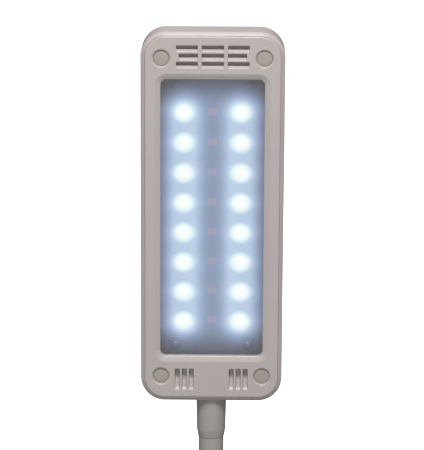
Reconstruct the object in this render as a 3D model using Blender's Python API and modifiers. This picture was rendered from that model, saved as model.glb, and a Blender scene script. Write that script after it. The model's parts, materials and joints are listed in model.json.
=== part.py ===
"""Dental operating light: a slim head with sixteen LEDs, on a flexible sleeved neck with a screw-down foot.

Metres, +Z up. The origin is the centre of the foot's underside. The neck stands up along +Z and the
lit face looks along -Y. Places on the head are given from the head's centre: x to the side, z up, and
y as the depth, which is negative towards the lit face.
"""

import math

import bmesh
import bpy
from mathutils import Vector

MM = 0.001
GAP = 0.3 * MM  # between pieces that touch

# Neck and foot
FLANGE_RADIUS = 30 * MM
FLANGE_THICKNESS = 6 * MM
HUB_TOP = 16 * MM
HUB_TOP_RADIUS = 12.5 * MM
HUB_FOOT_RADIUS = 16 * MM
HUB_BORE_RADIUS = 7 * MM
HUB_FLOOR = 4 * MM
OUTLET_HEIGHT = 10.5 * MM
OUTLET_RADIUS = 4.3 * MM
GLAND_SEAT = 13 * MM
GLAND_LENGTH = 2.2 * MM
FIXING_CIRCLE_RADIUS = 23 * MM
FIXING_HOLE_RADIUS = 2.4 * MM
FIXING_HOLES = 3
COLLAR_LENGTH = 26.4 * MM
COLLAR_SHOULDER_RADIUS = 9.7 * MM
COLLAR_WAIST_RADIUS = 9.2 * MM
COLLAR_MOUTH_RADIUS = 8.45 * MM
COLLAR_CHAMFER = 4.7 * MM
SLEEVE_RADIUS = 8.1 * MM
SLEEVE_WALL = 1.0 * MM
CORE_RADIUS = 6.5 * MM
CORE_BORE_RADIUS = 3.7 * MM
CORE_GAP = 2.2 * MM
BENDS = 12
BEND_PITCH = 23 * MM
CABLE_RADIUS = 2.2 * MM
CABLE_BEND = 8 * MM

# Head
HEAD_WIDTH = 90 * MM
HEAD_HEIGHT = 238.4 * MM
HEAD_CORNER = 15.5 * MM
FACE = -14 * MM
SEAM = -13.4 * MM
BACK = 14 * MM
RIM_ROUNDING = 2.5 * MM
BACK_ROUNDING = 4 * MM
SIDE_WALL = 2.5 * MM
BACK_WALL = 2 * MM
BEZEL_BACK = -11.2 * MM
BEZEL_BEVEL = 1.2 * MM
WINDOW_WIDTH = 65 * MM
WINDOW_HEIGHT = 178.5 * MM
WINDOW_CORNER = 3.6 * MM
WINDOW_CHAMFER = 3.7 * MM
WINDOW_CHAMFER_DEPTH = 1.4 * MM
WINDOW_RIM = 1.8 * MM
WINDOW_RIM_BACK = -9.1 * MM
PANE_MARGIN = 1.5 * MM
PANE_FRONT = -8 * MM
PANE_BACK = -6.7 * MM

# Vents in the bezel
TOP_SLOT_ROWS = (108.9 * MM, 103.75 * MM, 98.6 * MM)
TOP_SLOT_HEIGHT = 3.8 * MM
TOP_SLOT_LIP = 1.25 * MM
TOP_SLOT_LIP_DEPTH = 1.6 * MM
TOP_SLOT_MIDDLE = 6.9 * MM
TOP_SLOT_INNER_END = 9.4 * MM
TOP_SLOT_OUTER_END = 22.8 * MM
TOP_SLOT_SHORT_END = 21.1 * MM
LOW_SLOT_GROUP = 17.2 * MM
LOW_SLOT_PITCH = 4.45 * MM
LOW_SLOT_WIDTH = 3.05 * MM
LOW_SLOT_TOP = -97.6 * MM
LOW_SLOT_BOTTOM = -111.6 * MM
LOW_SLOT_BLOCK_BACK = -6.5 * MM
LOW_SLOT_LIP = 1.5 * MM
LOW_SLOT_LIP_DEPTH = 0.9 * MM
LOW_SLOT_RAMP_START = -10.5 * MM
LOW_SLOT_RAMP_END = -7.8 * MM
LOW_SLOT_OPEN_HEIGHT = 1.4 * MM
VENT_FILTER_WIDTH = 49 * MM
VENT_FILTER_HEIGHT = 17 * MM
VENT_FILTER_THICKNESS = 1.2 * MM
REAR_VENT_WIDTH = 30 * MM
REAR_VENT_HEIGHT = 2.4 * MM
REAR_VENT_PITCH = 5 * MM
REAR_VENT_ROWS = 4
REAR_VENT_GROUPS = (70 * MM, -85 * MM)

# Fixings
CASING_SCREW_X = 32.15 * MM
CASING_SCREW_Z = 102.6 * MM
PLUG_RADIUS = 4.6 * MM
PLUG_FRONT = -12.9 * MM
PLUG_BACK = -10.2 * MM
WELL_RADIUS = 4.9 * MM
WELL_CHAMFER = 1 * MM
WELL_FLOOR = -7.5 * MM
WELL_BACK = -6 * MM
WELL_OUTER_RADIUS = 7 * MM
BOSS_RADIUS = 4.5 * MM
BOSS_HOLE_RADIUS = 1.9 * MM
BOSS_HOLE_BOTTOM = 4 * MM
BOARD_SCREW_X = 23 * MM
BOARD_SCREW_Z = 84.5 * MM
BOARD_SCREW_HOLE_RADIUS = 1.8 * MM
BOARD_POST_RADIUS = 3.5 * MM

# Light engine
LED_COLUMN = 17.95 * MM
LED_ROWS = 8
LED_PITCH = 19.3 * MM
LED_BASE_RADIUS = 4.4 * MM
LED_DOME_RADIUS = 3.6 * MM
LED_BASE_HEIGHT = 0.8 * MM
LED_HEIGHT = 2 * MM
BOARD_WIDTH = 68 * MM
BOARD_HEIGHT = 185 * MM
LED_BOARD_FRONT = -4.1 * MM
LED_BOARD_BACK = -2.5 * MM
SINK_FRONT = -2.2 * MM
SINK_PLATE_BACK = -0.2 * MM
SINK_FIN_BACK = 2.8 * MM
DRIVER_FRONT = 4 * MM
DRIVER_BACK = 5.6 * MM
DRIVER_TOP = -6 * MM
DRIVER_BOTTOM = -78 * MM
BUTTON_Z = -20 * MM
BUTTON_RADIUS = 6 * MM
BUTTON_TRAVEL = 1.2 * MM
SPIGOT_RADIUS = 5.7 * MM
SPIGOT_RISE = 10.4 * MM

# Worked out from the above
FERRULE_BOTTOM = HUB_TOP + GAP
FLEX_BOTTOM = FERRULE_BOTTOM + COLLAR_LENGTH
FLEX_TOP = FLEX_BOTTOM + BENDS * BEND_PITCH
COLLAR_TOP = FLEX_TOP + COLLAR_LENGTH
HEAD_BOTTOM = COLLAR_TOP + GAP
HEAD_CENTRE = HEAD_BOTTOM + HEAD_HEIGHT / 2
HALF_HEIGHT = HEAD_HEIGHT / 2
CAVITY_BACK = BACK - BACK_WALL

# How a turned piece stands: its own axis is +Z
UPRIGHT = (0.0, 0.0, 0.0)
FACING_FRONT = (math.radians(90), 0.0, 0.0)
FACING_BACK = (math.radians(-90), 0.0, 0.0)

# Materials: colour, roughness, metallic
FINISHES = {
    "warm_grey_plastic": ((0.50, 0.46, 0.45), 0.45, 0.0),
    "plug_plastic": ((0.40, 0.37, 0.32), 0.55, 0.0),
    "clear_pane": ((0.75, 0.80, 0.88), 0.15, 0.0),
    "black_rubber": ((0.03, 0.03, 0.03), 0.8, 0.0),
    "grey_foam": ((0.24, 0.21, 0.20), 0.95, 0.0),
    "board_blue_grey": ((0.22, 0.27, 0.34), 0.4, 0.0),
    "led_white": ((0.90, 0.95, 1.0), 0.2, 0.0),
    "green_board": ((0.03, 0.20, 0.09), 0.45, 0.0),
    "aluminium": ((0.75, 0.75, 0.76), 0.35, 1.0),
    "steel": ((0.55, 0.55, 0.56), 0.35, 1.0),
    "satin_grey": ((0.35, 0.33, 0.31), 0.4, 0.0),
    "grey_sleeve": ((0.33, 0.32, 0.30), 0.5, 0.0),
    "white_nylon": ((0.85, 0.85, 0.82), 0.5, 0.0),
    "black_plastic": ((0.02, 0.02, 0.02), 0.4, 0.0),
    "red_wire": ((0.5, 0.03, 0.02), 0.5, 0.0),
}


def clear_scene():
    for obj in list(bpy.data.objects):
        bpy.data.objects.remove(obj, do_unlink=True)


def new_collection(name):
    collection = bpy.data.collections.new(name)
    bpy.context.scene.collection.children.link(collection)
    return collection


def finish_material(name):
    found = bpy.data.materials.get(name)
    if found:
        return found
    colour, roughness, metallic = FINISHES[name]
    material = bpy.data.materials.new(name)
    material.use_nodes = True
    shader = material.node_tree.nodes["Principled BSDF"]
    shader.inputs["Base Color"].default_value = (*colour, 1.0)
    shader.inputs["Roughness"].default_value = roughness
    shader.inputs["Metallic"].default_value = metallic
    material.diffuse_color = (*colour, 1.0)
    return material


def place(obj, where, parent=None, turn=UPRIGHT):
    """Puts an object at a world position, under a parent that isn't turned."""
    obj.parent = parent
    held_at = Vector()
    above = parent
    while above:
        held_at += above.location
        above = above.parent
    obj.location = Vector(where) - held_at
    obj.rotation_euler = turn
    return obj


def add_object(name, mesh, finish, where, parent=None, turn=UPRIGHT):
    """One sub-part of the light."""
    obj = bpy.data.objects.new(name, mesh)
    PARTS.objects.link(obj)
    if finish and not mesh.materials:
        mesh.materials.append(finish_material(finish))
    return place(obj, where, parent, turn)


def add_helper(name, mesh, where):
    """A shape that only cuts or joins."""
    obj = bpy.data.objects.new(name, mesh)
    HELPERS.objects.link(obj)
    obj.location = where
    obj.hide_render = True
    obj.display_type = "WIRE"
    return obj


def head_helper(name, mesh):
    """A helper drawn from the centre of the head."""
    return add_helper(name, mesh, (0, 0, HEAD_CENTRE))


def add_to_head(name, mesh, finish, head):
    """A piece of the head, drawn from the head's centre."""
    return add_object(name, mesh, finish, (0, 0, HEAD_CENTRE), head)


def combine(obj, helper, operation):
    modifier = obj.modifiers.new(helper.name, "BOOLEAN")
    modifier.operation = operation
    modifier.solver = "EXACT"
    modifier.object = helper


def smooth(mesh, angle=math.radians(35)):
    mesh.shade_smooth()
    mesh.set_sharp_from_angle(angle=angle)


def mesh_from(name, bm, rounded=True):
    bmesh.ops.recalc_face_normals(bm, faces=bm.faces)
    mesh = bpy.data.meshes.new(name)
    bm.to_mesh(mesh)
    bm.free()
    if rounded:
        smooth(mesh)
    return mesh


def rounded_outline(width, height, radius, depth, steps=6, centre=(0.0, 0.0)):
    """The corners of a rounded rectangle in the plane y = depth, as points in order."""
    points = []
    for corner, (sx, sz) in enumerate(((1, 1), (-1, 1), (-1, -1), (1, -1))):
        x = centre[0] + sx * (width / 2 - radius)
        z = centre[1] + sz * (height / 2 - radius)
        for step in range(steps + 1):
            angle = math.radians(90) * (corner + step / steps)
            points.append(Vector((x + radius * math.cos(angle), depth, z + radius * math.sin(angle))))
    return points


def add_loft(bm, rings):
    """A closed solid through rings of equally many points, with a flat face at each end."""
    loops = [[bm.verts.new(point) for point in ring] for ring in rings]
    count = len(loops[0])
    for near, far in zip(loops, loops[1:]):
        for i in range(count):
            j = (i + 1) % count
            bm.faces.new((near[i], near[j], far[j], far[i]))
    bm.faces.new(loops[0])
    bm.faces.new(reversed(loops[-1]))


def loft_mesh(name, rings, rounded=True):
    bm = bmesh.new()
    add_loft(bm, rings)
    return mesh_from(name, bm, rounded)


def add_box(bm, low, high):
    """A box between two corners."""
    size = Vector(high) - Vector(low)
    middle = (Vector(high) + Vector(low)) / 2
    made = bmesh.ops.create_cube(bm, size=1.0)
    bmesh.ops.scale(bm, vec=size, verts=made["verts"])
    bmesh.ops.translate(bm, vec=middle, verts=made["verts"])


def add_drum(bm, x, z, radius, front, back, segments=20, front_radius=None):
    """A round post or hole along y, or a cone if its front has another radius."""
    near = radius if front_radius is None else front_radius
    rings = []
    for depth, size in ((front, near), (back, radius)):
        ring = []
        for i in range(segments):
            angle = math.tau * i / segments
            ring.append(Vector((x + size * math.cos(angle), depth, z + size * math.sin(angle))))
        rings.append(ring)
    add_loft(bm, rings)


def corners_of(x, z):
    """The four places with these distances from the head's centre."""
    return [(sx * x, sz * z) for sx in (-1, 1) for sz in (1, -1)]


def turned(name, profile, finish, where, parent=None, steps=24, turn=UPRIGHT, closed=False):
    """A turned piece: (radius, height) points that run down its outer side, turned about its axis."""
    obj = add_object(name, profile_mesh(name, profile, closed), finish, where, parent, turn)
    add_screw(obj, steps)
    return obj


def profile_mesh(name, profile, closed):
    mesh = bpy.data.meshes.new(name)
    count = len(profile)
    edges = [(i, i + 1) for i in range(count - 1)]
    if closed:
        edges.append((count - 1, 0))
    mesh.from_pydata([(radius, 0.0, height) for radius, height in profile], edges, [])
    return mesh


def add_screw(obj, steps):
    screw = obj.modifiers.new("turn", "SCREW")
    screw.axis = "Z"
    screw.angle = math.tau
    screw.steps = steps
    screw.render_steps = steps
    screw.use_merge_vertices = True
    screw.merge_threshold = 0.00001
    screw.use_smooth_shade = True


def tube(name, points, radius, finish, parent=None):
    """A wire or cable along points given in the world."""
    start = Vector(points[0])
    curve = bpy.data.curves.new(name, "CURVE")
    curve.dimensions = "3D"
    curve.bevel_depth = radius
    curve.bevel_resolution = 2
    curve.use_fill_caps = True
    spline = curve.splines.new("POLY")
    spline.points.add(len(points) - 1)
    for spot, point in zip(spline.points, points):
        spot.co = (*(Vector(point) - start), 1.0)
    curve.materials.append(finish_material(finish))
    obj = bpy.data.objects.new(name, curve)
    PARTS.objects.link(obj)
    return place(obj, start, parent)


def arc(centre, radius, first, last, steps):
    """Points of an arc in the plane x = 0, with angles in degrees from +Y towards +Z."""
    points = []
    for step in range(steps + 1):
        angle = math.radians(first + (last - first) * step / steps)
        points.append((0, centre[0] + radius * math.cos(angle), centre[1] + radius * math.sin(angle)))
    return points


# ---------------------------------------------------------------- foot and neck


def make_foot():
    """The flange with its hub, the ferrule that holds the neck, and the cable's gland."""
    flange = turned(
        "foot_flange",
        [
            (0, HUB_FLOOR),
            (HUB_BORE_RADIUS, HUB_FLOOR),
            (HUB_BORE_RADIUS, HUB_TOP),
            (HUB_TOP_RADIUS - MM, HUB_TOP),
            (HUB_TOP_RADIUS, HUB_TOP - MM),
            (HUB_TOP_RADIUS + 1.2 * MM, FLANGE_THICKNESS + 3 * MM),
            (HUB_FOOT_RADIUS, FLANGE_THICKNESS + 0.6 * MM),
            (HUB_FOOT_RADIUS + 1.5 * MM, FLANGE_THICKNESS),
            (FLANGE_RADIUS - 1.2 * MM, FLANGE_THICKNESS),
            (FLANGE_RADIUS, FLANGE_THICKNESS - 1.2 * MM),
            (FLANGE_RADIUS, 0.5 * MM),
            (FLANGE_RADIUS - 0.5 * MM, 0),
            (0, 0),
        ],
        "satin_grey",
        (0, 0, 0),
        steps=28,
    )
    bore = bmesh.new()
    add_drum(bore, 0, OUTLET_HEIGHT, OUTLET_RADIUS, 3 * MM, FLANGE_RADIUS)
    outlet = add_helper("cut_cable_outlet", mesh_from("cut_cable_outlet", bore), (0, 0, 0))
    land = bmesh.new()
    add_box(land, (-8 * MM, GLAND_SEAT, FLANGE_THICKNESS - MM), (8 * MM, GLAND_SEAT + 6 * MM, 2 * HUB_TOP))
    seat = add_helper("cut_gland_seat", mesh_from("cut_gland_seat", land), (0, 0, 0))
    holes = bmesh.new()
    for i in range(FIXING_HOLES):
        angle = math.radians(270 + 360 * i / FIXING_HOLES)
        spot = Vector((math.cos(angle), math.sin(angle), 0)) * FIXING_CIRCLE_RADIUS
        add_countersunk_hole(holes, spot)
    fixings = add_helper("cut_fixing_holes", mesh_from("cut_fixing_holes", holes), (0, 0, 0))
    combine(flange, outlet, "DIFFERENCE")
    combine(flange, seat, "DIFFERENCE")
    combine(flange, fixings, "DIFFERENCE")

    turned(
        "foot_ferrule",
        [
            (CORE_RADIUS - 0.8 * MM, bend_height(1) - CORE_GAP / 2),
            (CORE_RADIUS, bend_height(1) - CORE_GAP / 2 - 0.8 * MM),
            (CORE_RADIUS, FLEX_BOTTOM),
            (COLLAR_MOUTH_RADIUS, FLEX_BOTTOM),
            (COLLAR_WAIST_RADIUS, FLEX_BOTTOM - COLLAR_CHAMFER),
            (COLLAR_SHOULDER_RADIUS, FERRULE_BOTTOM + 0.3 * MM),
            (COLLAR_SHOULDER_RADIUS - 0.3 * MM, FERRULE_BOTTOM),
            (CORE_BORE_RADIUS, FERRULE_BOTTOM),
            (CORE_BORE_RADIUS, bend_height(1) - CORE_GAP / 2),
        ],
        "satin_grey",
        (0, 0, 0),
        steps=24,
        closed=True,
    )
    turned(
        "cable_gland",
        [
            (CABLE_RADIUS + GAP, GLAND_LENGTH),
            (4.4 * MM, GLAND_LENGTH),
            (5.2 * MM, GLAND_LENGTH - 0.8 * MM),
            (5.2 * MM, 0),
            (OUTLET_RADIUS - GAP, 0),
            (OUTLET_RADIUS - GAP, -4 * MM),
            (CABLE_RADIUS + GAP, -4 * MM),
        ],
        "black_rubber",
        (0, GLAND_SEAT + GAP, OUTLET_HEIGHT),
        turn=FACING_BACK,
        closed=True,
        steps=20,
    )


def add_countersunk_hole(bm, spot):
    """A screw hole through the flange, wider at the top."""
    profile = (
        (FIXING_HOLE_RADIUS, -MM),
        (FIXING_HOLE_RADIUS, FLANGE_THICKNESS - 2.4 * MM),
        (FIXING_HOLE_RADIUS * 2.2, FLANGE_THICKNESS + 0.5 * MM),
        (FIXING_HOLE_RADIUS * 2.2, HUB_TOP),
    )
    rings = []
    for radius, height in profile:
        ring = []
        for i in range(16):
            angle = math.tau * i / 16
            ring.append(spot + Vector((radius * math.cos(angle), radius * math.sin(angle), height)))
        rings.append(ring)
    add_loft(bm, rings)


def bend_height(number):
    """The height of a bend's axis, counted from 1 at the foot."""
    return FLEX_BOTTOM + (number - 0.5) * BEND_PITCH


def make_neck():
    """The lengths of wound steel core, each turning on the one below. Returns the top one."""
    length = BEND_PITCH - CORE_GAP
    foot_end = CORE_GAP / 2
    profile = [
        (CORE_RADIUS - 0.8 * MM, foot_end + length),
        (CORE_RADIUS, foot_end + length - 0.8 * MM),
        (CORE_RADIUS, foot_end + 0.8 * MM),
        (CORE_RADIUS - 0.8 * MM, foot_end),
        (CORE_BORE_RADIUS, foot_end),
        (CORE_BORE_RADIUS, foot_end + length),
    ]
    below = None
    for number in range(1, BENDS):
        below = turned(
            f"neck_core_{number:02d}",
            profile,
            "steel",
            (0, 0, bend_height(number)),
            parent=below,
            steps=14,
            closed=True,
        )
    turned(
        "neck_sleeve",
        [
            (SLEEVE_RADIUS, FLEX_TOP - GAP),
            (SLEEVE_RADIUS, FLEX_BOTTOM + GAP),
            (SLEEVE_RADIUS - SLEEVE_WALL, FLEX_BOTTOM + GAP),
            (SLEEVE_RADIUS - SLEEVE_WALL, FLEX_TOP - GAP),
        ],
        "grey_sleeve",
        (0, 0, 0),
        steps=28,
        closed=True,
    )
    last = bend_height(BENDS)
    collar = turned(
        "neck_collar",
        [
            (SPIGOT_RADIUS - 0.5 * MM, HEAD_BOTTOM + SPIGOT_RISE - last),
            (SPIGOT_RADIUS, HEAD_BOTTOM + SPIGOT_RISE - 0.5 * MM - last),
            (SPIGOT_RADIUS, COLLAR_TOP - last),
            (COLLAR_SHOULDER_RADIUS - 0.3 * MM, COLLAR_TOP - last),
            (COLLAR_SHOULDER_RADIUS, COLLAR_TOP - 0.3 * MM - last),
            (COLLAR_WAIST_RADIUS, FLEX_TOP + COLLAR_CHAMFER - last),
            (COLLAR_MOUTH_RADIUS, FLEX_TOP - last),
            (CORE_RADIUS, FLEX_TOP - last),
            (CORE_RADIUS, CORE_GAP / 2 + 0.8 * MM),
            (CORE_RADIUS - 0.8 * MM, CORE_GAP / 2),
            (CORE_BORE_RADIUS, CORE_GAP / 2),
            (CORE_BORE_RADIUS, HEAD_BOTTOM + SPIGOT_RISE - last),
        ],
        "satin_grey",
        (0, 0, last),
        parent=below,
        steps=24,
        closed=True,
    )
    return collar


def make_swivel(collar):
    """The nylon washer and the lock nut that hold the head on the collar, with the nut's stop lug."""
    floor = HEAD_BOTTOM + SIDE_WALL
    washer_bottom = floor + GAP
    washer_top = washer_bottom + MM
    turned(
        "swivel_washer",
        [
            (9 * MM, washer_top),
            (9 * MM, washer_bottom),
            (SPIGOT_RADIUS + GAP, washer_bottom),
            (SPIGOT_RADIUS + GAP, washer_top),
        ],
        "white_nylon",
        (0, 0, 0),
        parent=collar,
        steps=20,
        closed=True,
    )
    nut_bottom = washer_top + GAP
    nut_height = 5 * MM
    shape = bmesh.new()
    made = bmesh.ops.create_cone(
        shape, cap_ends=True, segments=6, radius1=9.2 * MM, radius2=9.2 * MM, depth=nut_height
    )
    bmesh.ops.translate(shape, vec=(0, 0, nut_bottom + nut_height / 2), verts=made["verts"])
    nut = add_object("swivel_nut", mesh_from("swivel_nut", shape, rounded=False), "steel", (0, 0, 0), collar)
    lug = bmesh.new()
    add_box(lug, (-0.8 * MM, 6.5 * MM, nut_bottom + MM), (0.8 * MM, 10.5 * MM, nut_bottom + 4 * MM))
    bore = bmesh.new()
    made = bmesh.ops.create_cone(
        bore,
        cap_ends=True,
        segments=24,
        radius1=SPIGOT_RADIUS + GAP,
        radius2=SPIGOT_RADIUS + GAP,
        depth=nut_height * 2,
    )
    bmesh.ops.translate(bore, vec=(0, 0, nut_bottom + nut_height / 2), verts=made["verts"])
    combine(nut, add_helper("join_stop_lug", mesh_from("join_stop_lug", lug), (0, 0, 0)), "UNION")
    combine(nut, add_helper("cut_nut_bore", mesh_from("cut_nut_bore", bore), (0, 0, 0)), "DIFFERENCE")


# ---------------------------------------------------------------- casing


def shell_ring(inset, depth):
    return rounded_outline(
        HEAD_WIDTH - 2 * inset, HEAD_HEIGHT - 2 * inset, HEAD_CORNER - inset, depth
    )


def make_rear_shell(head):
    """The deep half of the casing: a tub with a rounded rim, screw bosses, board posts and vents."""
    rings = []
    for step in range(5):
        angle = math.radians(90) * step / 4
        inset = RIM_ROUNDING * (1 - math.sin(angle))
        rings.append(shell_ring(inset, SEAM + RIM_ROUNDING * (1 - math.cos(angle))))
    for step in range(4):
        angle = math.radians(90) * step / 3
        inset = BACK_ROUNDING * (1 - math.cos(angle))
        rings.append(shell_ring(inset, BACK - BACK_ROUNDING * (1 - math.sin(angle))))
    shell = add_object(
        "rear_shell", loft_mesh("rear_shell", rings), "warm_grey_plastic", (0, 0, HEAD_CENTRE), head
    )
    cavity = loft_mesh(
        "cut_shell_cavity",
        [
            shell_ring(SIDE_WALL, FACE - 2 * MM),
            shell_ring(SIDE_WALL, CAVITY_BACK - SIDE_WALL),
            shell_ring(SIDE_WALL + 2 * MM, CAVITY_BACK),
        ],
    )
    combine(shell, head_helper("cut_shell_cavity", cavity), "DIFFERENCE")

    posts = bmesh.new()
    inside_wall = CAVITY_BACK + MM
    for x, z in corners_of(CASING_SCREW_X, CASING_SCREW_Z):
        add_drum(posts, x, z, BOSS_RADIUS, WELL_BACK + GAP, inside_wall)
    for x, z in corners_of(BOARD_SCREW_X, BOARD_SCREW_Z):
        add_drum(posts, x, z, BOARD_POST_RADIUS, SINK_PLATE_BACK + GAP, inside_wall, segments=16)
    for x in (-18 * MM, 18 * MM):
        for z in (DRIVER_TOP - 6 * MM, DRIVER_BOTTOM + 6 * MM):
            add_drum(posts, x, z, 2.5 * MM, DRIVER_BACK + GAP, inside_wall, segments=12)
    stop_bottom = -HALF_HEIGHT + SIDE_WALL - MM
    add_box(posts, (-0.8 * MM, -10.9 * MM, stop_bottom), (0.8 * MM, -9.7 * MM, stop_bottom + 7 * MM))
    combine(shell, head_helper("join_shell_posts", mesh_from("join_shell_posts", posts)), "UNION")

    holes = bmesh.new()
    for x, z in corners_of(CASING_SCREW_X, CASING_SCREW_Z):
        add_drum(holes, x, z, BOSS_HOLE_RADIUS, FACE, BOSS_HOLE_BOTTOM, segments=12)
    for x, z in corners_of(BOARD_SCREW_X, BOARD_SCREW_Z):
        add_drum(holes, x, z, BOARD_SCREW_HOLE_RADIUS, FACE, 7 * MM, segments=12)
    add_drum(holes, 0, BUTTON_Z, BUTTON_RADIUS + GAP, CAVITY_BACK - MM, BACK + MM, segments=24)
    vent = (REAR_VENT_WIDTH, REAR_VENT_HEIGHT, 1.1 * MM)
    for low in REAR_VENT_GROUPS:
        for row in range(REAR_VENT_ROWS):
            middle = (0, low + row * REAR_VENT_PITCH)
            near = rounded_outline(*vent, CAVITY_BACK - MM, 2, middle)
            far = rounded_outline(*vent, BACK + MM, 2, middle)
            add_loft(holes, [near, far])
    made = bmesh.ops.create_cone(
        holes,
        cap_ends=True,
        segments=24,
        radius1=SPIGOT_RADIUS + 0.4 * MM,
        radius2=SPIGOT_RADIUS + 0.4 * MM,
        depth=8 * MM,
    )
    bmesh.ops.translate(holes, vec=(0, 0, -HALF_HEIGHT), verts=made["verts"])
    combine(shell, head_helper("cut_shell_holes", mesh_from("cut_shell_holes", holes)), "DIFFERENCE")


def make_front_bezel(head):
    """The face plate: window, vents and screw wells, let into the rim of the rear shell."""
    edge = SIDE_WALL + GAP
    rings = [
        shell_ring(edge + BEZEL_BEVEL, FACE),
        shell_ring(edge + 0.4 * BEZEL_BEVEL, FACE + 0.2 * MM),
        shell_ring(edge, SEAM),
        shell_ring(edge, BEZEL_BACK),
    ]
    bezel = add_object(
        "front_bezel", loft_mesh("front_bezel", rings), "warm_grey_plastic", (0, 0, HEAD_CENTRE), head
    )
    inside = BEZEL_BACK - 0.5 * MM
    added = bmesh.new()
    rim = (WINDOW_WIDTH + 2 * WINDOW_RIM, WINDOW_HEIGHT + 2 * WINDOW_RIM, WINDOW_CORNER + WINDOW_RIM)
    add_loft(added, [rounded_outline(*rim, inside), rounded_outline(*rim, WINDOW_RIM_BACK)])
    for x, z in corners_of(CASING_SCREW_X, CASING_SCREW_Z):
        add_drum(added, x, z, WELL_OUTER_RADIUS, inside, WELL_BACK)
    for side in (-1, 1):
        middle = (side * LOW_SLOT_GROUP, (LOW_SLOT_TOP + LOW_SLOT_BOTTOM) / 2)
        block = (15 * MM, LOW_SLOT_TOP - LOW_SLOT_BOTTOM + 2.4 * MM, MM)
        near = rounded_outline(*block, inside, 1, middle)
        far = rounded_outline(*block, LOW_SLOT_BLOCK_BACK, 1, middle)
        add_loft(added, [near, far])
    combine(bezel, head_helper("join_bezel_backs", mesh_from("join_bezel_backs", added)), "UNION")
    combine(bezel, head_helper("cut_bezel_window", window_cutter()), "DIFFERENCE")

    cuts = bmesh.new()
    add_top_slots(cuts)
    add_low_slots(cuts)
    combine(bezel, head_helper("cut_bezel_vents", mesh_from("cut_bezel_vents", cuts)), "DIFFERENCE")

    wells = bmesh.new()
    for x, z in corners_of(CASING_SCREW_X, CASING_SCREW_Z):
        add_well(wells, x, z)
    combine(bezel, head_helper("cut_bezel_wells", mesh_from("cut_bezel_wells", wells)), "DIFFERENCE")


def window_cutter():
    """The window's hole, with a wide shallow chamfer at the face."""

    def ring(outset, depth):
        return rounded_outline(
            WINDOW_WIDTH + 2 * outset, WINDOW_HEIGHT + 2 * outset, WINDOW_CORNER + outset, depth
        )

    return loft_mesh(
        "cut_bezel_window",
        [
            ring(1.5 * WINDOW_CHAMFER, FACE - 0.5 * WINDOW_CHAMFER_DEPTH),
            ring(0, FACE + WINDOW_CHAMFER_DEPTH),
            ring(0, WINDOW_RIM_BACK + MM),
        ],
    )


def box_ring(left, right, bottom, top, depth):
    corners = ((left, bottom), (right, bottom), (right, top), (left, top))
    return [Vector((x, depth, z)) for x, z in corners]


def add_top_slots(bm):
    """Three rows of three slots whose lower lips slope outwards."""
    for row, z in enumerate(TOP_SLOT_ROWS):
        end = TOP_SLOT_SHORT_END if row == 1 else TOP_SLOT_OUTER_END
        spans = (
            (-end, -TOP_SLOT_INNER_END),
            (-TOP_SLOT_MIDDLE, TOP_SLOT_MIDDLE),
            (TOP_SLOT_INNER_END, end),
        )
        bottom = z - TOP_SLOT_HEIGHT / 2
        top = z + TOP_SLOT_HEIGHT / 2
        for left, right in spans:
            rings = (
                box_ring(left, right, bottom, top, FACE - MM),
                box_ring(left, right, bottom, top, FACE),
                box_ring(left, right, bottom + TOP_SLOT_LIP, top, FACE + TOP_SLOT_LIP_DEPTH),
                box_ring(left, right, bottom + TOP_SLOT_LIP, top, BEZEL_BACK + MM),
            )
            add_loft(bm, rings)


def add_low_slots(bm):
    """Two groups of three deep upright slots, each with a lip at its foot and a ramp at its back."""
    sill = LOW_SLOT_BOTTOM + LOW_SLOT_LIP
    ramp_top = LOW_SLOT_TOP - LOW_SLOT_OPEN_HEIGHT
    for side in (-1, 1):
        for step in (-1, 0, 1):
            x = side * LOW_SLOT_GROUP + step * LOW_SLOT_PITCH
            left = x - LOW_SLOT_WIDTH / 2
            right = x + LOW_SLOT_WIDTH / 2
            rings = (
                box_ring(left, right, LOW_SLOT_BOTTOM, LOW_SLOT_TOP, FACE - MM),
                box_ring(left, right, LOW_SLOT_BOTTOM, LOW_SLOT_TOP, FACE),
                box_ring(left, right, sill, LOW_SLOT_TOP, FACE + LOW_SLOT_LIP_DEPTH),
                box_ring(left, right, sill + 0.4 * MM, LOW_SLOT_TOP, LOW_SLOT_RAMP_START),
                box_ring(left, right, ramp_top, LOW_SLOT_TOP, LOW_SLOT_RAMP_END),
                box_ring(left, right, ramp_top, LOW_SLOT_TOP, LOW_SLOT_BLOCK_BACK + MM),
            )
            add_loft(bm, rings)


def add_well(bm, x, z):
    """A plug's chamfered well with the screw's hole in its floor."""
    profile = (
        (WELL_RADIUS + 1.5 * WELL_CHAMFER, FACE - 0.5 * WELL_CHAMFER),
        (WELL_RADIUS, FACE + WELL_CHAMFER),
        (WELL_RADIUS, WELL_FLOOR),
        (2 * MM, WELL_FLOOR),
        (2 * MM, WELL_BACK + MM),
    )
    rings = []
    for radius, depth in profile:
        ring = []
        for i in range(20):
            angle = math.tau * i / 20
            ring.append(Vector((x + radius * math.cos(angle), depth, z + radius * math.sin(angle))))
        rings.append(ring)
    add_loft(bm, rings)


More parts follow.
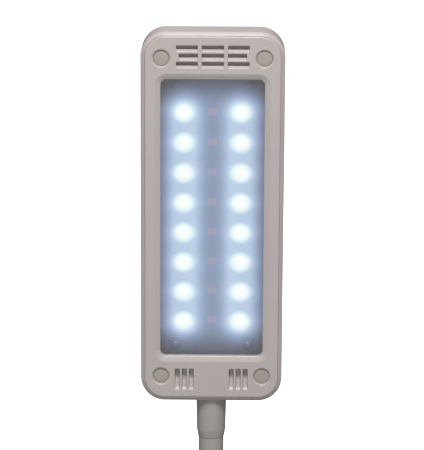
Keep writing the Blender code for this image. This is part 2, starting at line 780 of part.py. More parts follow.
def make_window(head):
    """The pane and the foam gasket that bonds it to the rim of the window."""
    width = WINDOW_WIDTH + 2 * PANE_MARGIN
    height = WINDOW_HEIGHT + 2 * PANE_MARGIN
    corner = WINDOW_CORNER + PANE_MARGIN
    front = WINDOW_RIM_BACK + GAP
    back = PANE_FRONT - GAP
    outline = [rounded_outline(width, height, corner, depth, 3) for depth in (front, back)]
    gasket = add_object(
        "pane_gasket", loft_mesh("pane_gasket", outline), "black_rubber", (0, 0, HEAD_CENTRE), head
    )
    hole = [
        rounded_outline(WINDOW_WIDTH + 0.6 * MM, WINDOW_HEIGHT + 0.6 * MM, WINDOW_CORNER + GAP, depth, 3)
        for depth in (front - MM, back + MM)
    ]
    combine(gasket, head_helper("cut_gasket", loft_mesh("cut_gasket", hole)), "DIFFERENCE")
    pane = [rounded_outline(width, height, corner, depth, 3) for depth in (PANE_FRONT, PANE_BACK)]
    add_to_head("window_pane", loft_mesh("window_pane", pane), "clear_pane", head)


def make_vent_filter(head):
    """The foam pad that keeps dust out behind the vents above the window."""
    front = BEZEL_BACK + GAP
    outline = [
        rounded_outline(VENT_FILTER_WIDTH, VENT_FILTER_HEIGHT, MM, depth, 2, (0, TOP_SLOT_ROWS[1]))
        for depth in (front, front + VENT_FILTER_THICKNESS)
    ]
    add_to_head("vent_filter", loft_mesh("vent_filter", outline), "grey_foam", head)


def make_casing_fixings(head):
    """Four screws from the face into the bosses, each under a plug."""
    shank_tip = BOSS_HOLE_BOTTOM - MM
    seat = WELL_FLOOR - GAP
    head_top = PLUG_BACK + GAP
    for number, (x, z) in enumerate(corners_of(CASING_SCREW_X, CASING_SCREW_Z), 1):
        where = (x, 0, HEAD_CENTRE + z)
        screw = bpy.data.meshes.get("casing_screw") or profile_mesh(
            "casing_screw",
            [
                (0, -head_top),
                (2.2 * MM, -head_top),
                (3.1 * MM, -head_top - 0.8 * MM),
                (3.1 * MM, -seat),
                (1.5 * MM, -seat),
                (1.5 * MM, -shank_tip + MM),
                (0, -shank_tip),
            ],
            False,
        )
        obj = add_object(f"casing_screw_{number}", screw, "steel", where, head, FACING_FRONT)
        add_screw(obj, 12)
        plug = bpy.data.meshes.get("screw_plug") or profile_mesh(
            "screw_plug",
            [
                (0, -PLUG_FRONT),
                (PLUG_RADIUS - 0.4 * MM, -PLUG_FRONT),
                (PLUG_RADIUS, -PLUG_FRONT - 0.4 * MM),
                (PLUG_RADIUS, -PLUG_BACK),
                (0, -PLUG_BACK),
            ],
            False,
        )
        obj = add_object(f"screw_plug_{number}", plug, "plug_plastic", where, head, FACING_FRONT)
        add_screw(obj, 20)


# ---------------------------------------------------------------- light engine


def led_heights():
    """Each LED row's height from the head's centre, top row first."""
    return [((LED_ROWS - 1) / 2 - row) * LED_PITCH for row in range(LED_ROWS)]


def make_led_board(head):
    """The LEDs' board with a resistor between each pair, and the sixteen LEDs."""
    outline = [
        rounded_outline(BOARD_WIDTH, BOARD_HEIGHT, 3 * MM, depth, 2)
        for depth in (LED_BOARD_FRONT, LED_BOARD_BACK)
    ]
    board = add_to_head("led_board", loft_mesh("led_board", outline), "board_blue_grey", head)
    resistors = bmesh.new()
    for z in led_heights():
        low = (-3 * MM, LED_BOARD_FRONT - 1.1 * MM, z - 2.2 * MM)
        high = (3 * MM, LED_BOARD_FRONT + 0.5 * MM, z + 2.2 * MM)
        add_box(resistors, low, high)
    combine(board, head_helper("join_resistors", mesh_from("join_resistors", resistors)), "UNION")
    combine(board, board_screw_holes(), "DIFFERENCE")

    base = GAP
    shape = profile_mesh(
        "led",
        [
            (0, base + LED_HEIGHT),
            (LED_DOME_RADIUS * 0.6, base + LED_HEIGHT - 0.2 * MM),
            (LED_DOME_RADIUS, base + LED_BASE_HEIGHT + 0.3 * MM),
            (LED_BASE_RADIUS, base + LED_BASE_HEIGHT),
            (LED_BASE_RADIUS, base),
            (0, base),
        ],
        False,
    )
    for side, x in (("left", -LED_COLUMN), ("right", LED_COLUMN)):
        for row, z in enumerate(led_heights(), 1):
            where = (x, LED_BOARD_FRONT, HEAD_CENTRE + z)
            led = add_object(f"led_{side}_{row}", shape, "led_white", where, head, FACING_FRONT)
            add_screw(led, 12)


def board_screw_holes():
    """The cutter for the screw holes, shared by the LED board and the heat sink."""
    found = bpy.data.objects.get("cut_board_screws")
    if found:
        return found
    holes = bmesh.new()
    for x, z in corners_of(BOARD_SCREW_X, BOARD_SCREW_Z):
        add_drum(holes, x, z, BOARD_SCREW_HOLE_RADIUS, FACE, SINK_FIN_BACK, segments=12)
    return head_helper("cut_board_screws", mesh_from("cut_board_screws", holes))


def make_heat_sink(head):
    """A finned plate behind the LED board, and the four screws that hold both to the shell's posts."""
    half = 32 * MM
    fin_places = [step * 8 * MM for step in (-2, -1, 0, 1, 2)]
    outline = [(-half, SINK_FRONT), (half, SINK_FRONT), (half, SINK_PLATE_BACK)]
    for x in reversed(fin_places):
        outline.append((x + 0.8 * MM, SINK_PLATE_BACK))
        outline.append((x + 0.8 * MM, SINK_FIN_BACK))
        outline.append((x - 0.8 * MM, SINK_FIN_BACK))
        outline.append((x - 0.8 * MM, SINK_PLATE_BACK))
    outline.append((-half, SINK_PLATE_BACK))
    rings = [[Vector((x, y, z)) for x, y in outline] for z in (-88 * MM, 88 * MM)]
    sink = add_to_head("heat_sink", loft_mesh("heat_sink", rings, False), "aluminium", head)
    combine(sink, board_screw_holes(), "DIFFERENCE")
    seat = LED_BOARD_FRONT - GAP
    shape = profile_mesh(
        "board_screw",
        [
            (0, -seat + 1.6 * MM),
            (1.7 * MM, -seat + 1.4 * MM),
            (2.7 * MM, -seat + 0.5 * MM),
            (2.7 * MM, -seat),
            (1.4 * MM, -seat),
            (1.4 * MM, -5.5 * MM),
            (0, -6 * MM),
        ],
        False,
    )
    for number, (x, z) in enumerate(corners_of(BOARD_SCREW_X, BOARD_SCREW_Z), 1):
        where = (x, 0, HEAD_CENTRE + z)
        obj = add_object(f"board_screw_{number}", shape, "steel", where, head, FACING_FRONT)
        add_screw(obj, 10)


def make_driver(head):
    """The driver board, its terminal block, the button's switch and the lead to the LED board."""
    board = bmesh.new()
    add_box(board, (-22 * MM, DRIVER_FRONT, DRIVER_BOTTOM), (22 * MM, DRIVER_BACK, DRIVER_TOP))
    driver = add_to_head("driver_board", mesh_from("driver_board", board, False), "green_board", head)
    bits = bmesh.new()
    sunk = DRIVER_BACK - 0.5 * MM
    add_box(bits, (-15 * MM, sunk, -46 * MM), (-3 * MM, DRIVER_BACK + 4 * MM, -34 * MM))
    add_box(bits, (3 * MM, sunk, -48 * MM), (14 * MM, DRIVER_BACK + 3 * MM, -38 * MM))
    add_box(bits, (-12 * MM, sunk, -62 * MM), (-4 * MM, DRIVER_BACK + 2 * MM, -54 * MM))
    combine(driver, head_helper("join_driver_bits", mesh_from("join_driver_bits", bits)), "UNION")

    block = bmesh.new()
    low = (-6 * MM, DRIVER_BACK + GAP, DRIVER_BOTTOM)
    add_box(block, low, (6 * MM, DRIVER_BACK + 5.3 * MM, DRIVER_BOTTOM + 8 * MM))
    add_to_head("terminal_block", mesh_from("terminal_block", block, False), "black_plastic", head)

    case = bmesh.new()
    low = (-3.1 * MM, DRIVER_BACK + GAP, BUTTON_Z - 3.1 * MM)
    add_box(case, low, (3.1 * MM, DRIVER_BACK + 3.4 * MM, BUTTON_Z + 3.1 * MM))
    switch = add_to_head("tact_switch", mesh_from("tact_switch", case, False), "black_plastic", head)
    well = bmesh.new()
    add_drum(well, 0, BUTTON_Z, 1.7 * MM, DRIVER_BACK + 0.8 * MM, DRIVER_BACK + 6 * MM, segments=12)
    combine(switch, head_helper("cut_switch_well", mesh_from("cut_switch_well", well)), "DIFFERENCE")

    lead_x = 12 * MM
    route = [
        (7.6 * MM, -74.5 * MM),
        (7.6 * MM, -82 * MM),
        (7.0 * MM, -88 * MM),
        (5.2 * MM, -92.1 * MM),
        (2.4 * MM, -94.7 * MM),
        (-0.6 * MM, -95.6 * MM),
        (-3.0 * MM, -95.2 * MM),
        (-4.9 * MM, -93.8 * MM),
        (-5.4 * MM, -92.2 * MM),
        (-5.4 * MM, -90.9 * MM),
    ]
    tube("board_lead", [(lead_x, y, HEAD_CENTRE + z) for y, z in route], 0.8 * MM, "red_wire", head)


def make_power_button(head):
    """The push button in the back of the head; its stem reaches into the switch."""
    shell = (
        (0, 15.6 * MM),
        (4.6 * MM, 15.4 * MM),
        (5.7 * MM, 14.9 * MM),
        (BUTTON_RADIUS, 14.2 * MM),
        (BUTTON_RADIUS, 11.7 * MM),
        (7.2 * MM, 11.7 * MM),
        (7.2 * MM, 10.6 * MM),
        (1.3 * MM, 10.6 * MM),
        (1.3 * MM, 7.9 * MM),
        (0, 7.9 * MM),
    )
    turned(
        "power_button",
        shell,
        "plug_plastic",
        (0, 0, HEAD_CENTRE + BUTTON_Z),
        parent=head,
        steps=20,
        turn=FACING_BACK,
    )


def make_supply_cable():
    """The cable from the gland in the foot, up the neck and the collar, to the terminal block."""
    terminal_depth = DRIVER_BACK + 2.8 * MM
    end = HEAD_CENTRE + DRIVER_BOTTOM - GAP
    points = [(0, GLAND_SEAT + GLAND_LENGTH, OUTLET_HEIGHT)]
    straight_bottom = OUTLET_HEIGHT + CABLE_BEND
    points += arc((CABLE_BEND, straight_bottom), CABLE_BEND, 270, 180, 6)
    straight_top = HEAD_BOTTOM + SPIGOT_RISE + MM
    steps = 24
    for step in range(1, steps + 1):
        points.append((0, 0, straight_bottom + (straight_top - straight_bottom) * step / steps))
    curve_end = end - 4 * MM
    steps = 6
    for step in range(1, steps + 1):
        share = step / steps
        eased = share * share * (3 - 2 * share)
        points.append((0, terminal_depth * eased, straight_top + (curve_end - straight_top) * share))
    points.append((0, terminal_depth, end))
    tube("supply_cable", points, CABLE_RADIUS, "black_rubber")


def make_light():
    make_foot()
    collar = make_neck()
    make_swivel(collar)
    head = bpy.data.objects.new("head_swivel", None)
    PARTS.objects.link(head)
    place(head, (0, 0, COLLAR_TOP), collar)
    make_rear_shell(head)
    make_front_bezel(head)
    make_window(head)
    make_vent_filter(head)
    make_casing_fixings(head)
    make_led_board(head)
    make_heat_sink(head)
    make_driver(head)
    make_power_button(head)
    make_supply_cable()


clear_scene()
PARTS = new_collection("dental_operating_light")
HELPERS = new_collection("cutters_and_joins")
make_light()
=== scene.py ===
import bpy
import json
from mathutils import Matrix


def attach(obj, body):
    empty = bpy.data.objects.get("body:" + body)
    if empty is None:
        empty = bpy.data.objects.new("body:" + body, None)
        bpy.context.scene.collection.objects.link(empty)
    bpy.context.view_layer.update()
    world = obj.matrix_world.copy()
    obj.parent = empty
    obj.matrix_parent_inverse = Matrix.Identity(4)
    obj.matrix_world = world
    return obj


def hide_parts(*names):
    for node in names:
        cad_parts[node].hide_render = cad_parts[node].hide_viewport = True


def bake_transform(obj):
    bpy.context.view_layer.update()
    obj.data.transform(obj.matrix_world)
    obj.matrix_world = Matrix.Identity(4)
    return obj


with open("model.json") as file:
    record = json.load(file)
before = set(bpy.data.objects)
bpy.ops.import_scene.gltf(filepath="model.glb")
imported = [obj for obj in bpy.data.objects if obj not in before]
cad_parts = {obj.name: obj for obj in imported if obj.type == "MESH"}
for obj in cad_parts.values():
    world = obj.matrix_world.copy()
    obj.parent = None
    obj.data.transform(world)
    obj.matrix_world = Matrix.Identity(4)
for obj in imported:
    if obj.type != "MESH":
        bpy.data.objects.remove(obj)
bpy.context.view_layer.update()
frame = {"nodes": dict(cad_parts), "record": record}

# The dental operating light as it looks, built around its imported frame. Metres, +Z up, the lit face
# looks along -Y. Places on the head are given from the head's centre, as they are in the CAD source.

import json
import math

import bmesh
import bpy
import numpy as np
from mathutils import Matrix, Vector
from mathutils.geometry import delaunay_2d_cdt

MM = 0.001
GAP = 0.3 * MM

# Neck and foot
FLANGE_RADIUS = 30 * MM
FLANGE_THICKNESS = 6 * MM
HUB_TOP = 16 * MM
HUB_TOP_RADIUS = 12.5 * MM
HUB_FOOT_RADIUS = 16 * MM
HUB_BORE_RADIUS = 7 * MM
HUB_FLOOR = 4 * MM
OUTLET_HEIGHT = 10.5 * MM
OUTLET_RADIUS = 4.3 * MM
GLAND_SEAT = 13 * MM
GLAND_LENGTH = 2.2 * MM
FIXING_CIRCLE_RADIUS = 23 * MM
FIXING_HOLE_RADIUS = 2.4 * MM
FIXING_HOLES = 3
COLLAR_LENGTH = 26.4 * MM
COLLAR_SHOULDER_RADIUS = 9.7 * MM
COLLAR_WAIST_RADIUS = 9.2 * MM
COLLAR_MOUTH_RADIUS = 8.45 * MM
COLLAR_CHAMFER = 4.7 * MM
SLEEVE_RADIUS = 8.1 * MM
SLEEVE_WALL = 1.0 * MM
CORE_RADIUS = 6.5 * MM
CORE_BORE_RADIUS = 3.7 * MM
CORE_GAP = 2.2 * MM
BENDS = 12
BEND_PITCH = 23 * MM
CABLE_RADIUS = 2.2 * MM
CABLE_BEND = 8 * MM

# Head
HEAD_WIDTH = 90 * MM
HEAD_HEIGHT = 238.4 * MM
HEAD_CORNER = 15.5 * MM
FACE = -14 * MM
SEAM = -13.4 * MM
BACK = 14 * MM
RIM_BEVEL = 2.2 * MM
RIM_BEVEL_DEPTH = 1.7 * MM
BACK_ROUNDING = 4 * MM
SIDE_WALL = 2.5 * MM
BACK_WALL = 2 * MM
BEZEL_BACK = -11.2 * MM
BEZEL_BEVEL = 1.2 * MM
SEAM_GAP = 0.13 * MM
WINDOW_WIDTH = 65 * MM
WINDOW_HEIGHT = 178.5 * MM
WINDOW_CORNER = 3.6 * MM
WINDOW_CHAMFER = 3.7 * MM
WINDOW_CHAMFER_DEPTH = 1.4 * MM
WINDOW_RIM = 1.8 * MM
WINDOW_RIM_BACK = -9.1 * MM
PANE_MARGIN = 1.5 * MM
PANE_FRONT = -8 * MM
PANE_BACK = -6.7 * MM

# Vents in the bezel
TOP_SLOT_ROWS = (108.9 * MM, 103.75 * MM, 98.6 * MM)
TOP_SLOT_HEIGHT = 3.8 * MM
TOP_SLOT_FLOOR = ((0, 0), (1.6 * MM, 1.25 * MM))
TOP_SLOT_MIDDLE = 6.9 * MM
TOP_SLOT_INNER_END = 9.4 * MM
TOP_SLOT_OUTER_END = 22.8 * MM
TOP_SLOT_SHORT_END = 21.1 * MM
LOW_SLOT_GROUP = 17.2 * MM
LOW_SLOT_PITCH = 4.45 * MM
LOW_SLOT_WIDTH = 3.05 * MM
LOW_SLOT_TOP = -97.6 * MM
LOW_SLOT_BOTTOM = -111.6 * MM
LOW_SLOT_BLOCK_BACK = -6.5 * MM
LOW_SLOT_FLOOR = ((0, 0), (0.9 * MM, 1.5 * MM), (3.5 * MM, 1.9 * MM), (6.2 * MM, 12.6 * MM))
REAR_VENT_GROUPS = (70 * MM, -85 * MM)
REAR_VENT_ROWS = 4
REAR_VENT_PITCH = 5 * MM
REAR_VENT_WIDTH = 30 * MM
REAR_VENT_HEIGHT = 2.4 * MM
REAR_VENT_CORNER = 1.15 * MM

# Fixings
CASING_SCREW_X = 32.15 * MM
CASING_SCREW_Z = 102.6 * MM
PLUG_RADIUS = 4.8 * MM
PLUG_FRONT = -12.9 * MM
PLUG_BACK = -10.2 * MM
WELL_RADIUS = 4.88 * MM
WELL_CHAMFER = 1 * MM
WELL_FLOOR = -7.5 * MM
WELL_BACK = -6 * MM
WELL_OUTER_RADIUS = 7 * MM
BOSS_RADIUS = 4.5 * MM
BOARD_SCREW_X = 23 * MM
BOARD_SCREW_Z = 84.5 * MM
BOARD_SCREW_HOLE_RADIUS = 1.8 * MM
BOARD_POST_RADIUS = 3.5 * MM

# Light engine
LED_COLUMN = 17.95 * MM
LED_ROWS = 8
LED_PITCH = 19.3 * MM
LED_BASE_RADIUS = 4.4 * MM
LED_DOME_RADIUS = 3.6 * MM
LED_BASE_HEIGHT = 0.8 * MM
LED_HEIGHT = 2 * MM
LED_BOARD_FRONT = -4.1 * MM
LED_BOARD_BACK = -2.5 * MM
BOARD_WIDTH = 68 * MM
BOARD_HEIGHT = 185 * MM
SINK_PLATE_BACK = -0.2 * MM
DRIVER_BACK = 5.6 * MM
DRIVER_BOTTOM = -78 * MM
BUTTON_Z = -20 * MM
BUTTON_RADIUS = 6 * MM
SPIGOT_RADIUS = 5.7 * MM
SPIGOT_RISE = 10.4 * MM
SPIGOT_BORE_ENDS = (-125 * MM, -112 * MM)

# Worked out from the above
FERRULE_BOTTOM = HUB_TOP + GAP
FLEX_BOTTOM = FERRULE_BOTTOM + COLLAR_LENGTH
FLEX_TOP = FLEX_BOTTOM + BENDS * BEND_PITCH
COLLAR_TOP = FLEX_TOP + COLLAR_LENGTH
HEAD_BOTTOM = COLLAR_TOP + GAP
HEAD_CENTRE = HEAD_BOTTOM + HEAD_HEIGHT / 2
CAVITY_BACK = BACK - BACK_WALL
LED_HEIGHTS = [((LED_ROWS - 1) / 2 - row) * LED_PITCH for row in range(LED_ROWS)]

AT_HEAD = Matrix.Translation((0, 0, HEAD_CENTRE))
IN_PLACE = Matrix.Identity(4)


# ---------------------------------------------------------------- shapes


class Shape:
    """Points and faces of a piece in the making."""

    def __init__(self):
        self.points = []
        self.faces = []

    def ring(self, points):
        first = len(self.points)
        self.points.extend(points)
        return list(range(first, len(self.points)))

    def skin(self, rings):
        """Faces between rings of equally many points, one after another."""
        for near, far in zip(rings, rings[1:]):
            for i in range(len(near)):
                j = (i + 1) % len(near)
                self.faces.append((near[i], near[j], far[j], far[i]))

    def tunnel(self, outlines):
        """A skin through outlines; returns its first and last ring."""
        rings = [self.ring(points) for points in outlines]
        self.skin(rings)
        return rings[0], rings[-1]

    def solid(self, outlines):
        """A closed form through outlines, flat at both ends."""
        for ring in self.tunnel(outlines):
            self.faces.append(tuple(ring))

    def fill(self, rings):
        """A flat face at one depth. The first ring is its edge and the others are holes in it."""
        spots = [i for ring in rings for i in ring]
        flat = np.array([(self.points[i][0], self.points[i][2]) for i in spots]) / MM
        sides = []
        for ring in rings:
            first = len(sides)
            sides += [(first + k, first + (k + 1) % len(ring)) for k in range(len(ring))]
        made = delaunay_2d_cdt([Vector(p) for p in flat], sides, [], 1, 1e-5, True)
        places = np.array([tuple(p) for p in made[0]])
        triangles = np.array([tuple(face) for face in made[2]])
        middles = places[triangles].mean(axis=1)
        start, end = flat[[a for a, _ in sides]], flat[[b for _, b in sides]]
        rise = end[:, 1] - start[:, 1]
        rise[rise == 0] = 1.0
        height = middles[:, 1:2]
        across = start[:, 0] + (end[:, 0] - start[:, 0]) * (height - start[:, 1]) / rise
        crossed = ((start[:, 1] > height) != (end[:, 1] > height)) & (middles[:, 0:1] < across)
        for triangle, count in zip(triangles, crossed.sum(axis=1)):
            if count % 2:
                self.faces.append(tuple(spots[made[3][i][0]] for i in triangle))

    def turn(self, profile, steps, where, closed=False):
        """(radius, height) points turned about the Z axis of where, with caps at radius 0."""
        rings = []
        for radius, height in profile:
            if radius == 0:
                rings.append(self.ring([where @ Vector((0, 0, height))]))
                continue
            angles = [math.tau * i / steps for i in range(steps)]
            points = [(radius * math.cos(a), radius * math.sin(a), height) for a in angles]
            rings.append(self.ring([where @ Vector(point) for point in points]))
        if closed:
            rings.append(rings[0])
        for near, far in zip(rings, rings[1:]):
            if len(near) == 1 or len(far) == 1:
                tip, rim = (near[0], far) if len(near) == 1 else (far[0], near)
                self.faces += [(tip, rim[i], rim[(i + 1) % steps]) for i in range(steps)]
            else:
                self.skin([near, far])


def filleted(corners, steps=5, closed=False):
    """Rounds a profile's corners: (x, y, rounding) corners in, (x, y) points out."""
    count = len(corners)
    points = []
    for i, (x, y, rounding) in enumerate(corners):
        here = Vector((x, y))
        if rounding == 0 or (not closed and i in (0, count - 1)):
            points.append((x, y))
            continue
        before = Vector(corners[i - 1][:2]) - here
        after = Vector(corners[(i + 1) % count][:2]) - here
        half = before.angle(after) / 2
        reach = min(rounding / math.tan(half), 0.48 * min(before.length, after.length))
        if corners[i - 1][2] == 0 and corners[(i + 1) % count][2] == 0:
            reach = min(rounding / math.tan(half), before.length, after.length)
        radius = reach * math.tan(half)
        inwards = (before.normalized() + after.normalized()).normalized()
        centre = here + inwards * (radius / math.sin(half))
        first = here + before.normalized() * reach - centre
        last = here + after.normalized() * reach - centre
        sweep = math.atan2(first.x * last.y - first.y * last.x, first.dot(last))
        for step in range(steps + 1):
            a = sweep * step / steps
            points.append(
                (
                    centre.x + first.x * math.cos(a) - first.y * math.sin(a),
                    centre.y + first.x * math.sin(a) + first.y * math.cos(a),
                )
            )
    return points


def outline(left, right, bottom, top, radius, depth, steps=8):
    """The points of a rounded rectangle in the plane y = depth."""
    points = []
    for corner, (sx, sz) in enumerate(((1, 1), (-1, 1), (-1, -1), (1, -1))):
        x = (right if sx > 0 else left) - sx * radius
        z = (top if sz > 0 else bottom) - sz * radius
        for step in range(steps + 1):
            a = math.radians(90) * (corner + step / steps)
            points.append(Vector((x + radius * math.cos(a), depth, z + radius * math.sin(a))))
    return points


def centred(width, height, radius, depth, steps=8, z=0.0):
    return outline(-width / 2, width / 2, z - height / 2, z + height / 2, radius, depth, steps)


def circle(x, z, radius, depth, steps=48):
    angles = [math.tau * i / steps for i in range(steps)]
    return [Vector((x + radius * math.cos(a), depth, z + radius * math.sin(a))) for a in angles]


def head_outline(inset, depth):
    """The head's own outline, drawn in by inset."""
    return centred(
        HEAD_WIDTH - 2 * inset, HEAD_HEIGHT - 2 * inset, HEAD_CORNER - inset, depth, steps=20
    )


def corners_of(x, z):
    return [(sx * x, sz * z) for sx in (-1, 1) for sz in (1, -1)]


def facing(x, z, sign):
    """Where a turned piece stands on the head: its axis is +Y, or -Y if sign is negative."""
    return Matrix.Translation((x, 0, z)) @ Matrix.Rotation(math.radians(-90 * sign), 4, "X")


def mark_wear_and_shade(mesh):
    """Writes how exposed each point is: 0 in a hollow, a half on the flat and 1 on an edge. Shaders read it
    for paler worn edges and for painted shade in crevices.
    """
    bm = bmesh.new()
    bm.from_mesh(mesh)
    exposed = []
    for vert in bm.verts:
        bend = sum(edge.calc_face_angle_signed(0.0) for edge in vert.link_edges)
        exposed.append(0.5 + 0.5 * max(-1.0, min(1.0, bend / math.radians(50))))
    bm.free()
    mesh.attributes.new("wear_and_shade", "FLOAT", "POINT").data.foreach_set("value", exposed)


def cut(mesh, cutter):
    """The mesh less the cutter."""
    objects = [bpy.data.objects.new("cut", m) for m in (mesh, cutter)]
    for obj in objects:
        bpy.context.scene.collection.objects.link(obj)
    modifier = objects[0].modifiers.new("cut", "BOOLEAN")
    modifier.operation = "DIFFERENCE"
    modifier.solver = "EXACT"
    modifier.object = objects[1]
    graph = bpy.context.evaluated_depsgraph_get()
    made = bpy.data.meshes.new_from_object(objects[0].evaluated_get(graph))
    for obj in objects:
        bpy.data.objects.remove(obj)
    return made


def mesh_of(name, shape, where=IN_PLACE):
    mesh = bpy.data.meshes.new(name)
    mesh.from_pydata(shape.points, [], shape.faces)
    mesh.transform(where)
    bm = bmesh.new()
    bm.from_mesh(mesh)
    bmesh.ops.recalc_face_normals(bm, faces=bm.faces)
    bm.to_mesh(mesh)
    bm.free()
    return mesh


def object_of(name, shape, material, where=IN_PLACE, cutters=(), sharp=35):
    mesh = mesh_of(name, shape, where)
    for cutter in cutters:
        mesh = cut(mesh, mesh_of("cutter", cutter, where))
    mesh.name = name
    mark_wear_and_shade(mesh)
    rest = mesh.attributes.new("rest_place", "FLOAT_VECTOR", "POINT")
    rest.data.foreach_set("vector", [x for vert in mesh.vertices for x in vert.co])
    mesh.shade_smooth()
    mesh.set_sharp_from_angle(angle=math.radians(sharp))
    mesh.materials.clear()
    mesh.materials.append(material)
    obj = bpy.data.objects.new(name, mesh)
    bpy.context.scene.collection.objects.link(obj)
    return obj


def add_piece(name, shape, material, body, slot=None, stands_for=(), **how):
    """A piece that rides a body, in the finish it is given, in place of the CAD nodes it stands for."""
    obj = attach(object_of(name, shape, material, **how), body)
    if stands_for:
        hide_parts(*stands_for)
    return obj


def add_to_head(name, shape, slot, stands_for=(), material=None, **how):
    finish = MATERIALS[material or slot]
    return add_piece(name, shape, finish, "head", slot, stands_for, where=AT_HEAD, **how)


# ---------------------------------------------------------------- materials


class Paint:
    """A material made of nodes, with what its shader's sockets hold throughout."""

    def __init__(self, name, **sockets):
        self.material = bpy.data.materials.new(name)
        self.material.use_nodes = True
        self.tree = self.material.node_tree
        self.shader = self.tree.nodes["Principled BSDF"]
        for socket, value in sockets.items():
            self.set(socket.replace("_", " "), value)

    def set(self, socket, value):
        self.feed(self.shader.inputs[socket], value)

    def feed(self, socket, value):
        if isinstance(value, bpy.types.NodeSocket):
            self.tree.links.new(value, socket)
        elif isinstance(value, tuple) and len(value) == 3 and socket.type == "RGBA":
            socket.default_value = (*value, 1.0)
        else:
            socket.default_value = value

    def node(self, kind, inputs=None, **settings):
        made = self.tree.nodes.new("ShaderNode" + kind)
        for setting, value in settings.items():
            setattr(made, setting, value)
        for socket, value in (inputs or {}).items():
            self.feed(made.inputs[socket], value)
        return made

    def math(self, operation, a, b=0.0, clamp=False):
        return self.node("Math", {0: a, 1: b}, operation=operation, use_clamp=clamp).outputs[0]

    def place(self):
        """Where the point is at rest, in the row frame."""
        return self.node("Attribute", attribute_name="rest_place").outputs["Vector"]

    def own_place(self):
        return self.node("TexCoord").outputs["Object"]

    def wear_and_shade(self):
        return self.node("Attribute", attribute_name="wear_and_shade").outputs["Fac"]

    def noise(self, at, scale, detail=3.0, roughness=0.55):
        inputs = {"Vector": at, "Scale": scale, "Detail": detail, "Roughness": roughness}
        return self.node("TexNoise", inputs).outputs[0]

    def stretched(self, at, scale):
        return self.node("Mapping", {"Vector": at, "Scale": scale}).outputs[0]

    def band(self, value, low, high, low_to=0.0, high_to=1.0):
        """value eased from low_to, where it is low, to high_to, where it is high."""
        inputs = {0: value, 1: low, 2: high, 3: low_to, 4: high_to}
        return self.node("MapRange", inputs, interpolation_type="SMOOTHSTEP").outputs[0]

    def mix(self, share, a, b):
        return self.node("Mix", {0: share, 6: a, 7: b}, data_type="RGBA").outputs[2]

    def bump(self, height, distance, strength=1.0, over=None):
        inputs = {"Height": height, "Distance": distance, "Strength": strength}
        if over is not None:
            inputs["Normal"] = over
        return self.node("Bump", inputs).outputs[0]


def shade_of(colour, share):
    return tuple(channel * share for channel in colour)


def moulded(name, colour, roughness, grain=0.02 * MM, at_rest=True):
    """Moulded plastic or rubber: fine grain, faint mottling, paler worn edges and painted shade darkening
    the crevices.
    """
    paint = Paint(name, Specular_IOR_Level=0.5)
    at = paint.place() if at_rest else paint.own_place()
    cloudy = paint.noise(at, 22, 4)
    flecked = paint.noise(at, 900, 2)
    base = paint.mix(paint.band(cloudy, 0.3, 0.7), shade_of(colour, 0.975), shade_of(colour, 1.02))
    base = paint.mix(paint.band(flecked, 0.35, 0.7, 0.0, 0.5), base, shade_of(colour, 0.96))
    if at_rest:
        patchy = paint.noise(at, 160, 3)
        edge = paint.math("MULTIPLY", paint.band(paint.wear_and_shade(), 0.62, 0.95), paint.band(patchy, 0.3, 0.65))
        base = paint.mix(paint.math("MULTIPLY", edge, 0.45), base, shade_of(colour, 1.16))
        # painted shade: the colour is darkened in crevices and hollows, where shade falls
        crevice_shade = paint.band(paint.wear_and_shade(), 0.1, 0.42, 0.35, 0.0)
        base = paint.mix(crevice_shade, base, shade_of(colour, 0.72))
    paint.set("Base Color", base)
    paint.set("Roughness", paint.band(cloudy, 0.25, 0.75, roughness - 0.035, roughness + 0.035))
    fine = paint.noise(at, 3200, 2, 0.6)
    paint.set("Normal", paint.bump(fine, grain, 0.35))
    return paint.material


def metal(name, colour, roughness, brushed=(1.0, 1.0, 1.0), scale=900):
    """Bare metal with fine marks, drawn out along one way, and faint stains."""
    paint = Paint(name, Metallic=1.0)
    at = paint.own_place()
    marks = paint.noise(paint.stretched(at, brushed), scale, 4, 0.65)
    stains = paint.noise(at, 60, 3)
    base = paint.mix(paint.band(stains, 0.35, 0.75), colour, shade_of(colour, 0.82))
    paint.set("Base Color", base)
    paint.set("Roughness", paint.band(marks, 0.3, 0.7, roughness - 0.08, roughness + 0.1))
    paint.set("Normal", paint.bump(marks, 0.02 * MM, 0.5))
    return paint.material


# Glare painted on the pane as glow. The first colour is what the window shows where no LED glares, partly a
# grey glow painted on the pane and partly the board behind; over it come a bluish haze that grows with the
# level, and a flare that turns it white near an LED
BASE_GLOW = (0.16, 0.155, 0.165)
HAZE = (0.4, 0.6, 1.0)
FLARE = (0.63, 0.62, 0.0)
FULLY_LIT = (0.9, 0.94, 0.93)
GLARE_STEPS = 12

# How far the glare reaches, in millimetres, and how strong it gets
GLARE_REACH = 11.4
GLARE_STRENGTH = 0.88
GLARE_CAP = 0.6
GLARE_CAP_EASE = 0.25
CORE_REACH = 10.6
CORE_WIDENING = 0.88
MIDDLE_REACH = 14.0
MIDDLE_STRENGTH = 0.2
MIDDLE_FADE_START = 70
MIDDLE_FADE_END = 98

# How much the veil of glare hides of what is behind it
VEIL_LEAST = 0.25
VEIL_MOST = 0.97
VEIL_FULL = 0.75
BEHIND_VEIL = 0.09


def colour_of_glare(level):
    """What a level of painted glare looks like: haze and flare over the window's base colour, up to the
    LED's own white.
    """
    light = zip(BASE_GLOW, HAZE, FLARE, FULLY_LIT)
    return [min(full, base_glow + haze * level + flare * level**4) for base_glow, haze, flare, full in light]


def cover_of_veil(level):
    """How much a level of glare hides of what is behind the pane."""
    share = min(1.0, level / VEIL_FULL)
    return VEIL_LEAST + (VEIL_MOST - VEIL_LEAST) * share * share * (3 - 2 * share)


def bell(paint, squares, reach):
    """Falls from 1 as the sum of squares grows, over a reach in millimetres."""
    total = paint.math("ADD", *squares) if len(squares) == 2 else squares[0]
    return paint.math("EXPONENT", paint.math("DIVIDE", total, -reach * reach))


def squared_off(paint, value, place):
    off = paint.math("SUBTRACT", value, place)
    return paint.math("MULTIPLY", off, off)


